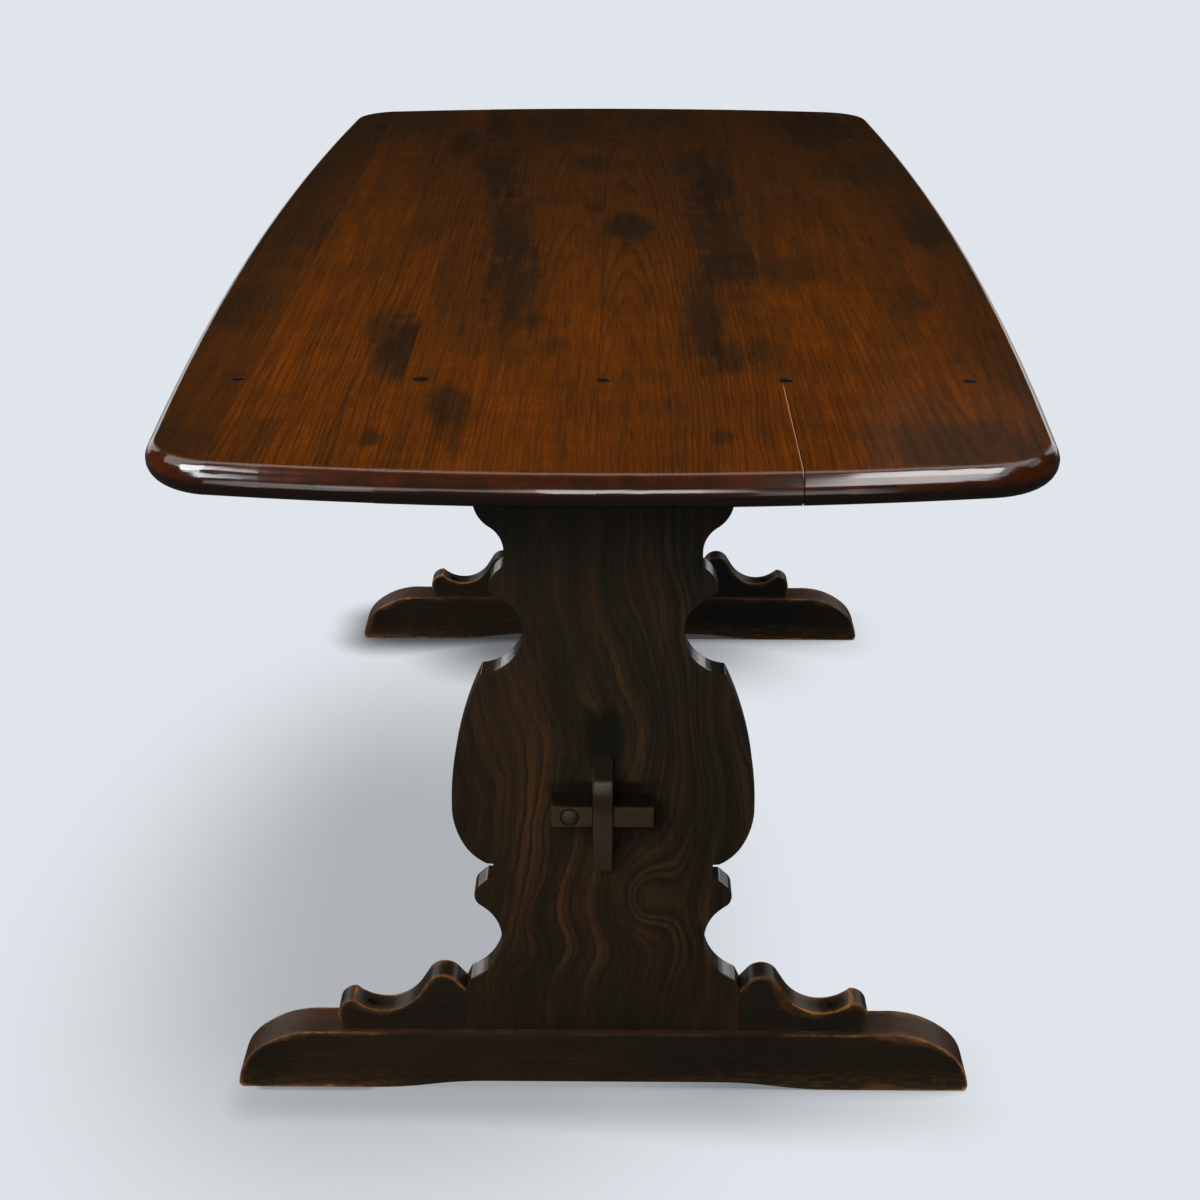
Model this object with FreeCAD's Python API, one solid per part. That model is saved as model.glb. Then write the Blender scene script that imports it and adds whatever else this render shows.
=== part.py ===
import FreeCAD, Part
import math
import os

# Trestle dining table with a boat-shaped plank top.
#
# X runs across the table, Y along it and Z up. The origin is on the floor under the
# middle of the top. The near trestle stands at negative Y. Lengths are in millimetres.

# Whole table
table_height = 710.0
trestle_inset = 232.0

# Top, measured at the arrises of its half-round edge
top_length = 1524.0
top_width = 740.0
top_thickness = 28.0
side_bow = 27.0
end_bow = 37.0
corner_radius = 60.0
edge_radius = 16.0
inner_seam_shares = (-0.46, -0.011)
first_seam_clearance = 1.0

# Joint between the fourth and fifth boards, which has opened at the near end
open_seam_offset = 3.3
open_seam_mouth = 1.0
open_seam_tip = 0.3

# Plugs and screws that hold the top to the bearers
plug_diameter = 12.0
plug_depth = 9.0
plug_recess = 0.7
plug_count = 5
plug_inset = 25.6
screw_head_diameter = 9.5
screw_head_height = 3.5
screw_shank_diameter = 5.0
screw_length = 48.0
screw_slot_width = 1.4
screw_slot_depth = 1.2
screw_point_length = 8.0

# Bearers under the top
bearer_inset = 22.0
bearer_height = 44.0
bearer_thickness = 42.0
bearer_nose_radius = 30.0

# Trestle panels
panel_width = 277.6
panel_thickness = 27.0
panel_foot_width = 262.0
stub_width = 60.0
stub_thickness = 13.0
stub_gap = 60.0
foot_stub_depth = 38.0
bearer_stub_depth = 24.0

# Feet
foot_length = 706.0
foot_height = 63.0
foot_thickness = 42.0
foot_nose_length = 82.0
foot_pad_length = 130.0
foot_sweep_length = 112.0
foot_relief = 8.0

# Scroll brackets
bracket_length = 122.0
bracket_height = 60.6
bracket_joint_height = 45.5
bracket_screw_place = 90.0
bracket_bore_diameter = 11.0
bracket_screw_sink = 6.0
bracket_screw_length = 46.0

# Stretcher and its through tenons
stretcher_width = 120.0
stretcher_thickness = 21.5
stretcher_bottom = 299.5
tenon_width = 93.0
tenon_reach = 26.0
tenon_chamfer = 1.2

# Tapered keys in the slots of the tenons
key_head_width = 18.5
key_tail_width = 17.4
key_proud = 5.0
key_tail_depth = 12.0
key_above_tenon = 27.0
key_below_tenon = 54.0
key_crown = 14.0
key_shoulder_radius = 6.0

# Round-headed pegs in the ends of the tenons
peg_head_diameter = 14.5
peg_head_height = 3.6
peg_shank_diameter = 9.0
peg_shank_length = 15.0
peg_place = 30.0

# Fits and the overrun of cutters
joint_clearance = 0.1
key_clearance = 0.2
overrun = 5.0

# Outline of half a panel above its bracket. A row of one pair is the end of a line, a row
# of two pairs is a point on an arc and its end. Across they are shares of half the
# panel's width, upwards shares of its height.
panel_outline_shares = (
    ((0.908, 0.0983),),
    ((0.734, 0.1360), (0.688, 0.1790)),
    ((0.713, 0.2078), (0.804, 0.2357)),
    ((0.844, 0.2431),),
    ((0.867, 0.2574), (0.846, 0.2739)),
    ((0.779, 0.2887),),
    ((0.735, 0.2887),),
    ((0.735, 0.3175),),
    ((0.778, 0.3183),),
    ((0.873, 0.3353), (0.936, 0.3570)),
    ((0.985, 0.3887), (1.000, 0.4261)),
    ((0.949, 0.5409), (0.787, 0.6570)),
    ((0.601, 0.6779), (0.514, 0.7287)),
    ((0.589, 0.7723), (0.648, 0.7831)),
    ((0.706, 0.7913),),
    ((0.724, 0.7974), (0.7215, 0.8052)),
    ((0.6985, 0.8214), (0.626, 0.8365)),
    ((0.626, 0.8643),),
    ((0.657, 0.8870), (0.704, 0.8991)),
    ((0.785, 0.9188), (0.814, 0.9409)),
    ((0.814, 1.0000),),
)

# Outline of a scroll bracket from its joint with the panel, as shares of its length and
# height, in the same kind of rows.
bracket_outline_shares = (
    ((0.051, 0.868),),
    ((0.177, 1.000), (0.287, 0.883)),
    ((0.357, 0.653),),
    ((0.623, 0.337), (0.877, 0.525)),
    ((0.970, 0.455), (1.010, 0.264)),
    ((0.990, 0.000),),
)

# Rounded end of a foot, as shares of the length of its nose and of the foot's height.
foot_nose_shares = (
    ((0.483, 0.898), (0.776, 0.667)),
    ((0.939, 0.397), (1.000, 0.111)),
    ((0.985, 0.032), (0.935, 0.000)),
)

# Point on the sweep from a pad up to the relieved underside, halfway along each half, as
# a share of the relief.
sweep_bow_share = 0.12

# Front of a key between its tail and its head, as shares of the gain in depth and height.
key_front_shares = (0.72, 0.45)
key_brow_shares = (0.90, 0.87)

# Values worked out from the sizes above
trestle_place = top_length / 2 - trestle_inset
panel_height = table_height - top_thickness - bearer_height - foot_height
top_bottom = table_height - top_thickness
edge_bulge = edge_radius - math.sqrt(edge_radius ** 2 - (top_thickness / 2) ** 2)
end_radius = ((top_width / 2) ** 2 + end_bow ** 2) / (2 * end_bow)
side_radius = ((top_length / 2) ** 2 + side_bow ** 2) / (2 * side_bow)
side_centre = FreeCAD.Vector(top_width / 2 - side_radius, 0, 0)
end_centre = FreeCAD.Vector(0, top_length / 2 - end_radius, 0)
width_at_trestle = 2 * (side_centre.x + math.sqrt(side_radius ** 2 - trestle_place ** 2))
bearer_length = width_at_trestle - 2 * bearer_inset
plug_floor = table_height - plug_depth
plug_pitch = (bearer_length - 2 * plug_inset) / (plug_count - 1)
panel_face = trestle_place + panel_thickness / 2
tenon_end = panel_face + tenon_reach
key_depth = tenon_reach + key_proud
key_height = key_below_tenon + stretcher_thickness + key_above_tenon
key_bottom = stretcher_bottom - key_below_tenon
peg_height = stretcher_bottom + stretcher_thickness / 2
up = FreeCAD.Vector(0, 0, 1)


def block(low, high):
    """Solid box between two corners, given in any order along each axis."""
    sides = [abs(b - a) for a, b in zip(low, high)]
    corner = FreeCAD.Vector(*[min(a, b) for a, b in zip(low, high)])
    return Part.makeBox(*sides, corner)


def traced(start, rows):
    """Edges in the XZ plane from a start point along rows of line ends and arc points."""
    edges = []
    here = FreeCAD.Vector(start[0], 0, start[1])
    for row in rows:
        points = [FreeCAD.Vector(x, 0, z) for x, z in row]
        if len(points) == 1:
            edges.append(Part.LineSegment(here, points[0]).toShape())
        else:
            edges.append(Part.Arc(here, points[0], points[1]).toShape())
        here = points[-1]
    return edges


def scaled(rows, across, upwards, corner):
    """Rows of shares turned into lengths, measured from a corner."""
    return [
        tuple((corner[0] + x * across, corner[1] + z * upwards) for x, z in row)
        for row in rows
    ]


def slab(edges, thickness):
    """Board of a closed outline in the XZ plane, centred on that plane."""
    face = Part.Face(Part.Wire(Part.__sortEdges__(edges)))
    board = face.extrude(FreeCAD.Vector(0, thickness, 0))
    board.translate(FreeCAD.Vector(0, -thickness / 2, 0))
    return board


def mirrored(edges):
    """The edges and their mirror images across the middle plane of the table."""
    across = FreeCAD.Vector(1, 0, 0)
    return edges + [edge.mirror(FreeCAD.Vector(), across) for edge in edges]


def turned_round(shape):
    """Copy of a shape of the near trestle, turned to the far one."""
    copy = shape.copy()
    copy.rotate(FreeCAD.Vector(), up, 180)
    return copy


def corner_centre():
    """Centre of the corner round that touches the side bow and the end bow."""
    side_reach = side_radius - corner_radius
    end_reach = end_radius - corner_radius
    between = end_centre - side_centre
    gap = between.Length
    along = (side_reach ** 2 - end_reach ** 2 + gap ** 2) / (2 * gap)
    off = math.sqrt(side_reach ** 2 - along ** 2)
    between.normalize()
    return side_centre + between * along + FreeCAD.Vector(-between.y, between.x, 0) * off


def edge_bands():
    """Outline arcs of one quarter of the top: centre, and first and last point."""
    corner = corner_centre()
    side_way = (corner - side_centre).normalize()
    end_way = (corner - end_centre).normalize()
    side_touch = side_centre + side_way * side_radius
    end_touch = end_centre + end_way * end_radius
    side_middle = FreeCAD.Vector(top_width / 2, 0, 0)
    end_middle = FreeCAD.Vector(0, top_length / 2, 0)
    return (
        (side_centre, side_middle, side_touch),
        (corner, side_touch, end_touch),
        (end_centre, end_touch, end_middle),
    )


def outline_arc(centre, first, last):
    """Arc round a centre from one point to another."""
    radius = (first - centre).Length
    half_way = ((first - centre) + (last - centre)).normalize()
    return Part.Arc(first, centre + half_way * radius, last).toShape()


def half_round(centre, first, last):
    """Bulge of the half-round edge along one outline arc."""
    radius = (first - centre).Length
    outward = (first - centre).normalize()
    low = first
    high = first + up * top_thickness
    nose = first + outward * edge_bulge + up * (top_thickness / 2)
    profile = [Part.Arc(low, nose, high).toShape(), Part.LineSegment(high, low).toShape()]
    chord = (last - first).Length
    angle = math.degrees(2 * math.asin(chord / (2 * radius)))
    return Part.Face(Part.Wire(profile)).revolve(centre, up, angle)


def quarter_copies(shape):
    """The shape of one quarter of the top in all four quarters."""
    across = FreeCAD.Vector(1, 0, 0)
    along = FreeCAD.Vector(0, 1, 0)
    half = [shape, shape.mirror(FreeCAD.Vector(), across)]
    return half + [piece.mirror(FreeCAD.Vector(), along) for piece in half]


def whole_top():
    """The top in one piece, before it is parted into boards."""
    arcs = []
    bulges = []
    for band in edge_bands():
        arcs += quarter_copies(outline_arc(*band))
        bulges += quarter_copies(half_round(*band))
    core = Part.Face(Part.Wire(Part.__sortEdges__(arcs))).extrude(up * top_thickness)
    top = core.multiFuse(bulges).removeSplitter()
    top.translate(up * top_bottom)
    return top


def plug_places():
    """Places of the plugs of the near row across the table."""
    first = -bearer_length / 2 + plug_inset
    return [first + plug_pitch * number for number in range(plug_count)]


def round_bar(diameter, x, y, bottom, top):
    """Upright cylinder between two heights."""
    return Part.makeCylinder(diameter / 2, top - bottom, FreeCAD.Vector(x, y, bottom))


def top_bores():
    """Bores through the top for the plugs and screws of both trestles."""
    bores = []
    for x in plug_places():
        for y in (-trestle_place, trestle_place):
            bores.append(round_bar(plug_diameter, x, y, plug_floor, table_height + overrun))
            bores.append(screw_seat(x, y, plug_floor, screw_length))
    return bores


def seam_places():
    """Joints between the boards: the first and the last run by plugs, the others between."""
    places = plug_places()
    first = places[0] + plug_diameter / 2 + first_seam_clearance
    last = places[-2] - open_seam_offset
    return [first] + [share * top_width / 2 for share in inner_seam_shares] + [last]


def open_seam():
    """Wedge of air where the joint beside the fifth board has opened."""
    seam = seam_places()[-1]
    first = -trestle_place
    last = -top_length / 2 - edge_bulge - overrun
    corners = [
        FreeCAD.Vector(seam, first, top_bottom - overrun),
        FreeCAD.Vector(seam + open_seam_tip, first, top_bottom - overrun),
        FreeCAD.Vector(seam + open_seam_mouth, last, top_bottom - overrun),
        FreeCAD.Vector(seam, last, top_bottom - overrun),
    ]
    face = Part.Face(Part.makePolygon(corners + corners[:1]))
    return face.extrude(up * (top_thickness + 2 * overrun))


def top_boards():
    """The five boards of the top, from negative to positive X."""
    top = whole_top()
    reach = top_width / 2 + edge_bulge + overrun
    end = top_length / 2 + edge_bulge + overrun
    sides = [-reach] + seam_places() + [reach]
    boards = []
    for left, right in zip(sides, sides[1:]):
        strip = block((left, -end, top_bottom - overrun), (right, end, table_height + overrun))
        boards.append(top.common(strip).cut(top_bores()))
    boards[-1] = boards[-1].cut(open_seam())
    return boards


def top_plugs():
    """Plugs of the near row, a little below the face of the top."""
    top = table_height - plug_recess
    plugs = [
        round_bar(plug_diameter, x, -trestle_place, plug_floor, top) for x in plug_places()
    ]
    return Part.makeCompound(plugs)


def wood_screw(x, y, head_top, length):
    """Slotted countersunk screw, point down."""
    head = screw_head_diameter / 2
    shank = screw_shank_diameter / 2
    points = [
        (0, 0),
        (head, 0),
        (shank, -screw_head_height),
        (shank, screw_point_length - length),
        (0, -length),
    ]
    corners = [FreeCAD.Vector(r, 0, z) for r, z in points]
    screw = Part.Face(Part.makePolygon(corners + corners[:1])).revolve(FreeCAD.Vector(), up, 360)
    slot = block(
        (-screw_slot_width / 2, -screw_head_diameter, -screw_slot_depth),
        (screw_slot_width / 2, screw_head_diameter, overrun),
    )
    screw = screw.cut(slot)
    screw.translate(FreeCAD.Vector(x, y, head_top))
    return screw


def screw_seat(x, y, head_top, length):
    """Hole that the screw has cut for itself, countersunk for its head."""
    head = screw_head_diameter / 2 + joint_clearance
    shank = screw_shank_diameter / 2 + joint_clearance
    points = [
        (0, overrun),
        (head, overrun),
        (head, 0),
        (shank, -screw_head_height),
        (shank, screw_point_length - length),
        (0, -length - joint_clearance),
    ]
    corners = [FreeCAD.Vector(r, 0, z) for r, z in points]
    seat = Part.Face(Part.makePolygon(corners + corners[:1])).revolve(FreeCAD.Vector(), up, 360)
    seat.translate(FreeCAD.Vector(x, y, head_top))
    return seat


def stub_centres():
    """Middles of the two stub tenons at either end of a panel."""
    place = (stub_gap + stub_width) / 2
    return (-place, place)


def panel_stubs(clearance):
    """Stub tenons of the near panel, or their mortises when given a clearance."""
    stubs = []
    foot_top = foot_height
    bearer_bottom = foot_height + panel_height
    half_wide = stub_width / 2 + clearance
    half_thick = stub_thickness / 2 + clearance
    for x in stub_centres():
        low = foot_top - foot_stub_depth - clearance
        high = bearer_bottom + bearer_stub_depth + clearance
        stubs.append(
            block((x - half_wide, -half_thick, low), (x + half_wide, half_thick, foot_top))
        )
        stubs.append(
            block((x - half_wide, -half_thick, bearer_bottom), (x + half_wide, half_thick, high))
        )
    return stubs


def stretcher_mortise():
    """Through mortise of a panel for the tenon of the stretcher."""
    half_wide = tenon_width / 2 + joint_clearance
    reach = panel_thickness / 2 + overrun
    low = stretcher_bottom - joint_clearance
    high = stretcher_bottom + stretcher_thickness + joint_clearance
    return block((-half_wide, -reach, low), (half_wide, reach, high))


def near_panel():
    """Sawn panel of the near trestle with its stub tenons."""
    corner = (panel_foot_width / 2, foot_height)
    joint_top = (panel_foot_width / 2, foot_height + bracket_joint_height)
    rows = [(joint_top,)]
    rows += scaled(panel_outline_shares, panel_width / 2, panel_height, (0, foot_height))
    side = traced(corner, rows)
    head = rows[-1][-1]
    foot_line = Part.LineSegment(
        FreeCAD.Vector(-corner[0], 0, corner[1]), FreeCAD.Vector(corner[0], 0, corner[1])
    )
    head_line = Part.LineSegment(
        FreeCAD.Vector(-head[0], 0, head[1]), FreeCAD.Vector(head[0], 0, head[1])
    )
    outline = mirrored(side) + [foot_line.toShape(), head_line.toShape()]
    panel = slab(outline, panel_thickness)
    panel = panel.fuse(panel_stubs(0)).removeSplitter().cut(stretcher_mortise())
    panel.translate(FreeCAD.Vector(0, -trestle_place, 0))
    return panel


def near_foot():
    """Sledge foot of the near trestle, mortised for the panel."""
    half = foot_length / 2
    flat = half - foot_nose_length
    pad_end = half - foot_pad_length
    sweep_middle = pad_end - foot_sweep_length / 2
    sweep_end = pad_end - foot_sweep_length
    low_bow = sweep_bow_share * foot_relief
    quarter = foot_sweep_length / 4
    rows = [((flat, foot_height),)]
    rows += scaled(foot_nose_shares, foot_nose_length, foot_height, (flat, 0))
    rows += [
        ((pad_end, 0),),
        ((pad_end - quarter, low_bow), (sweep_middle, foot_relief / 2)),
        ((sweep_middle - quarter, foot_relief - low_bow), (sweep_end, foot_relief)),
        ((0, foot_relief),),
    ]
    foot = slab(mirrored(traced((0, foot_height), rows)), foot_thickness).removeSplitter()
    foot = foot.cut(panel_stubs(joint_clearance))
    foot.translate(FreeCAD.Vector(0, -trestle_place, 0))
    return foot.cut([bracket_screw_seat(side) for side in (-1, 1)])


def near_bracket(side):
    """Scroll bracket of the near trestle, on one side of the panel."""
    inner = panel_foot_width / 2
    joint_top = (inner, foot_height + bracket_joint_height)
    rows = [(joint_top,)]
    rows += scaled(bracket_outline_shares, bracket_length, bracket_height, (inner, foot_height))
    rows += [((inner, foot_height),)]
    bracket = slab(traced((inner, foot_height), rows), panel_thickness)
    if side < 0:
        bracket = bracket.mirror(FreeCAD.Vector(), FreeCAD.Vector(1, 0, 0))
    bracket.translate(FreeCAD.Vector(0, -trestle_place, 0))
    return bracket.cut([bracket_screw_seat(side), bracket_bore(side)])


def bracket_screw_head_top():
    """Height of the head of a bracket screw, sunk below the hollow of the bracket."""
    hollow_share = min(z for row in bracket_outline_shares[:-2] for x, z in row)
    return foot_height + hollow_share * bracket_height - bracket_screw_sink


def bracket_screw_x(side):
    """Place of a bracket screw across the table."""
    return side * (panel_foot_width / 2 + bracket_screw_place)


def bracket_bore(side):
    """Counterbore above the head of a bracket screw."""
    bottom = bracket_screw_head_top()
    top = foot_height + bracket_height + overrun
    return round_bar(bracket_bore_diameter, bracket_screw_x(side), -trestle_place, bottom, top)


def bracket_screw_seat(side):
    """Seat of a bracket screw in the bracket and the foot."""
    head_top = bracket_screw_head_top()
    return screw_seat(bracket_screw_x(side), -trestle_place, head_top, bracket_screw_length)


def bracket_screws():
    """The two screws that hold the near brackets to the foot."""
    head_top = bracket_screw_head_top()
    screws = [
        wood_screw(bracket_screw_x(side), -trestle_place, head_top, bracket_screw_length)
        for side in (-1, 1)
    ]
    return Part.makeCompound(screws)


def top_screws():
    """Screws through the top into the near bearer."""
    screws = [wood_screw(x, -trestle_place, plug_floor, screw_length) for x in plug_places()]
    return Part.makeCompound(screws)


def near_bearer():
    """Batten under the top at the near trestle, with rounded lower ends."""
    half = bearer_length / 2
    bottom = top_bottom - bearer_height
    inner = half - bearer_nose_radius
    diagonal = bearer_nose_radius * math.sqrt(0.5)
    rows = [
        ((half, top_bottom),),
        ((half, bottom + bearer_nose_radius),),
        ((inner + diagonal, bottom + bearer_nose_radius - diagonal), (inner, bottom)),
        ((0, bottom),),
    ]
    bearer = slab(mirrored(traced((0, top_bottom), rows)), bearer_thickness).removeSplitter()
    bearer = bearer.cut(panel_stubs(joint_clearance))
    bearer.translate(FreeCAD.Vector(0, -trestle_place, 0))
    seats = [screw_seat(x, -trestle_place, plug_floor, screw_length) for x in plug_places()]
    return bearer.cut(seats)


def key_width(height, clearance):
    """Width of a key at a height of the tenon, with a clearance on each flank."""
    share = (height - key_bottom) / key_height
    return key_tail_width + share * (key_head_width - key_tail_width) + 2 * clearance


def key_slot():
    """Slot for the near key in its tenon, open at the end of the tenon."""
    low = stretcher_bottom - overrun
    high = stretcher_bottom + stretcher_thickness + overrun
    half_low = key_width(low, key_clearance) / 2
    half_high = key_width(high, key_clearance) / 2
    corners = [
        FreeCAD.Vector(-half_low, -panel_face, low),
        FreeCAD.Vector(half_low, -panel_face, low),
        FreeCAD.Vector(half_high, -panel_face, high),
        FreeCAD.Vector(-half_high, -panel_face, high),
    ]
    face = Part.Face(Part.makePolygon(corners + corners[:1]))
    return face.extrude(FreeCAD.Vector(0, -tenon_reach - overrun, 0))


def peg_bore():
    """Blind bore for the peg in the end of the near tenon."""
    end = FreeCAD.Vector(-peg_place, -tenon_end - overrun, peg_height)
    depth = overrun + peg_shank_length + joint_clearance
    radius = peg_shank_diameter / 2 + joint_clearance
    return Part.makeCylinder(radius, depth, end, FreeCAD.Vector(0, 1, 0))


def stretcher():
    """Flat rail between the trestles with a through tenon at each end."""
    inner = trestle_place - panel_thickness / 2
    low = stretcher_bottom
    high = stretcher_bottom + stretcher_thickness
    rail = block((-stretcher_width / 2, -inner, low), (stretcher_width / 2, inner, high))
    tenons = block((-tenon_width / 2, -tenon_end, low), (tenon_width / 2, tenon_end, high))
    ends = [edge for edge in tenons.Edges if abs(edge.CenterOfMass.y) > panel_face]
    rail = rail.fuse(tenons.makeChamfer(tenon_chamfer, ends)).removeSplitter()
    cuts = [key_slot(), peg_bore()]
    return rail.cut(cuts + [turned_round(cut) for cut in cuts])


def near_key():
    """Tapered key of the near tenon, from its side profile and its front outline."""
    back = -panel_face - joint_clearance
    tail_front = back - key_tail_depth
    front = back - key_depth
    brow_z = key_bottom + key_height * key_brow_shares[1]
    top = key_bottom + key_height
    middle = FreeCAD.Vector(
        0,
        tail_front + key_front_shares[0] * (front - tail_front),
        key_bottom + key_front_shares[1] * (brow_z - key_bottom),
    )
    tail_back = FreeCAD.Vector(0, back, key_bottom)
    tail = FreeCAD.Vector(0, tail_front, key_bottom)
    brow = FreeCAD.Vector(0, front, brow_z)
    lip = FreeCAD.Vector(0, back - key_brow_shares[0] * key_depth, top)
    crown = FreeCAD.Vector(0, back, top + key_crown)
    profile = Part.Wire([
        Part.LineSegment(tail_back, tail).toShape(),
        Part.Arc(tail, middle, brow).toShape(),
        Part.LineSegment(brow, lip).toShape(),
        Part.LineSegment(lip, crown).toShape(),
        Part.LineSegment(crown, tail_back).toShape(),
    ])
    side_view = Part.Face(profile).extrude(FreeCAD.Vector(key_head_width, 0, 0))
    side_view.translate(FreeCAD.Vector(-key_head_width / 2, 0, 0))
    return side_view.common(key_front_view(back))


def key_front_view(back):
    """Front outline of a key with round shoulders, drawn through its depth."""
    head_z = key_bottom + key_height + key_crown
    half_tail = key_tail_width / 2
    half_head = key_head_width / 2
    shoulder_z = head_z - key_shoulder_radius
    diagonal = key_shoulder_radius * math.sqrt(0.5)
    inner = half_head - key_shoulder_radius
    rows = [
        ((half_tail, key_bottom),),
        ((half_head, shoulder_z),),
        ((inner + diagonal, shoulder_z + diagonal), (inner, head_z)),
        ((0, head_z),),
    ]
    outline = mirrored(traced((0, key_bottom), rows))
    face = Part.Face(Part.Wire(Part.__sortEdges__(outline)))
    face.translate(FreeCAD.Vector(0, back, 0))
    return face.extrude(FreeCAD.Vector(0, -key_depth - overrun, 0))


def near_tenon_peg():
    """Round-headed peg in the end of the near tenon."""
    head = peg_head_diameter / 2
    shank = peg_shank_diameter / 2
    dome_radius = (head ** 2 + peg_head_height ** 2) / (2 * peg_head_height)
    halfway = head / 2
    halfway_rise = peg_head_height - dome_radius + math.sqrt(dome_radius ** 2 - halfway ** 2)
    shank_end = FreeCAD.Vector(0, 0, -peg_shank_length)
    shank_edge = FreeCAD.Vector(shank, 0, -peg_shank_length)
    neck = FreeCAD.Vector(shank, 0, 0)
    rim = FreeCAD.Vector(head, 0, 0)
    crown = FreeCAD.Vector(0, 0, peg_head_height)
    profile = Part.Wire([
        Part.LineSegment(crown, shank_end).toShape(),
        Part.LineSegment(shank_end, shank_edge).toShape(),
        Part.LineSegment(shank_edge, neck).toShape(),
        Part.LineSegment(neck, rim).toShape(),
        Part.Arc(rim, FreeCAD.Vector(halfway, 0, halfway_rise), crown).toShape(),
    ])
    peg = Part.Face(profile).revolve(FreeCAD.Vector(), up, 360)
    peg.rotate(FreeCAD.Vector(), FreeCAD.Vector(1, 0, 0), 90)
    peg.translate(FreeCAD.Vector(-peg_place, -tenon_end, peg_height))
    return peg


def near_trestle():
    """Pieces of the near trestle, by the last part of their names."""
    return {
        "top_plugs": top_plugs(),
        "top_screws": top_screws(),
        "bearer": near_bearer(),
        "panel": near_panel(),
        "foot": near_foot(),
        "left_bracket": near_bracket(-1),
        "right_bracket": near_bracket(1),
        "bracket_screws": bracket_screws(),
        "key": near_key(),
        "tenon_peg": near_tenon_peg(),
    }


def all_pieces():
    """Every piece of the table by the name of its node."""
    pieces = {"top_board_%d" % (i + 1): board for i, board in enumerate(top_boards())}
    pieces["stretcher"] = stretcher()
    opposite = {"left_bracket": "right_bracket", "right_bracket": "left_bracket"}
    for name, shape in near_trestle().items():
        pieces["near_" + name] = shape
        pieces["far_" + opposite.get(name, name)] = turned_round(shape)
    return pieces


os.makedirs("parts", exist_ok=True)
for name, shape in all_pieces().items():
    shape.exportStep("parts/" + name + ".step")
    print(name, len(shape.Solids), "valid" if shape.isValid() else "INVALID", round(shape.Volume))
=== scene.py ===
"""Trestle dining table in dark stained elm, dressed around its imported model.

The boat-shaped top of five boards stands on two sawn trestles, held apart by a stretcher
whose through tenons are keyed. Every wooden piece here is a softened and finely divided copy
of its solid, with a finish worked out from its own grain direction. Lengths are in metres.
"""

import logging
import math
from dataclasses import dataclass, field
from enum import Enum
from typing import Any, Callable, Iterable, Sequence

import bmesh
import bpy
from mathutils import Matrix, Vector
from mathutils.geometry import intersect_point_line
from mathutils.kdtree import KDTree


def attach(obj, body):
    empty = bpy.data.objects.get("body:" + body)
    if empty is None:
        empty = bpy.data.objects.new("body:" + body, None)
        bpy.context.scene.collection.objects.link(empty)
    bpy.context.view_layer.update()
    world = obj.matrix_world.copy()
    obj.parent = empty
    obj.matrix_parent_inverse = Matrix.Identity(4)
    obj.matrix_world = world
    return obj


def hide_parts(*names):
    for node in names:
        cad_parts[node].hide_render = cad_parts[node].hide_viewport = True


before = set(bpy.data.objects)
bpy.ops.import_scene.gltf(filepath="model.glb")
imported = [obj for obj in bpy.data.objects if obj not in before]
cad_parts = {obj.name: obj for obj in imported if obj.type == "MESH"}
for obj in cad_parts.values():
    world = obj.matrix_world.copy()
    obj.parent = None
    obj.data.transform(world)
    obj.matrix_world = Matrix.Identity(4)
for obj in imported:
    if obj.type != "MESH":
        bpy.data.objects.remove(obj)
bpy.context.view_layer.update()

Triple = tuple[float, float, float]
Row = tuple[float, ...]
Stops = tuple[tuple[float, Triple], ...]

BACKGROUND: Triple = (0.745, 0.784, 0.831)
BLUISH: Triple = (0.90, 0.95, 1.0)
WARM: Triple = (1.0, 0.96, 0.90)
# Colour of the painted shade on the tenons
PAINTED_SHADE: Triple = (0.006, 0.005, 0.004)

# Places in the solids
TRESTLE_PLACE = 0.530
PANEL_FACE = 0.5435
PANEL_HALF = 0.0135
FOOT_HALF = 0.021

# Closer than this, two points are one or a face touches its neighbour
MERGED = 1e-6
TOUCHING = 0.0006

# Noise drawn out along the grain: scale along and across it, then detail and roughness
RING_SWAY: Row = (1.4, 6.0)
RING_TREMOR: Row = (9.0, 42.0)
RING_STRENGTH: Row = (1.6, 8.0)
FIGURE_SWAY: Row = (5.0, 8.0)
FIGURE_TREMOR: Row = (24.0, 50.0, 3.0)
FIGURE_STRENGTH: Row = (4.0, 12.0)
FIBRE_STREAKS: Row = (12.0, 760.0, 3.0, 0.7)
PORES: Row = (110.0, 1500.0, 1.0, 0.5)
MOTTLE: Row = (4.5, 62.0, 5.0, 0.68)
SMUDGES: Row = (22.0, 15.0, 6.0, 0.70)
RAGGED: Row = (26.0, 40.0, 4.0, 0.65)
RAGGED_GRAIN: Row = (7.0, 120.0, 3.0, 0.6)
CURL: Row = (42.0, 9.0, 3.0)
HANDLING: Row = (24.0, 24.0, 3.0, 0.6)
FILM: Row = (60.0, 60.0)
CLOUD_DRAW = 0.3

# Even noise: scale, detail and roughness
RUB: Row = (38.0, 3.0, 0.6)
GRIT: Row = (420.0, 2.0, 0.6)
RUBBED: Row = (14.0, 3.0)
SPOTTY: Row = (95.0, 3.0, 0.6)
WIDE_SCUFF: Row = (13.0, 2.0)
NOSE_BLOTCH: Row = (34.0, 3.0, 0.6)
FOOT_BLOTCH: Row = (24.0, 4.0, 0.65)

log = logging.getLogger("table")


class Grain(Enum):
    """Which way the grain of a piece runs; the value gives its axes along, across and deep."""

    LENGTHWISE = "yxz"
    CROSSWISE = "xzy"
    UPRIGHT = "zxy"


class Side(Enum):
    """The two ends of the table, with the sign of their place along it."""

    NEAR = -1.0
    FAR = 1.0


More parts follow.
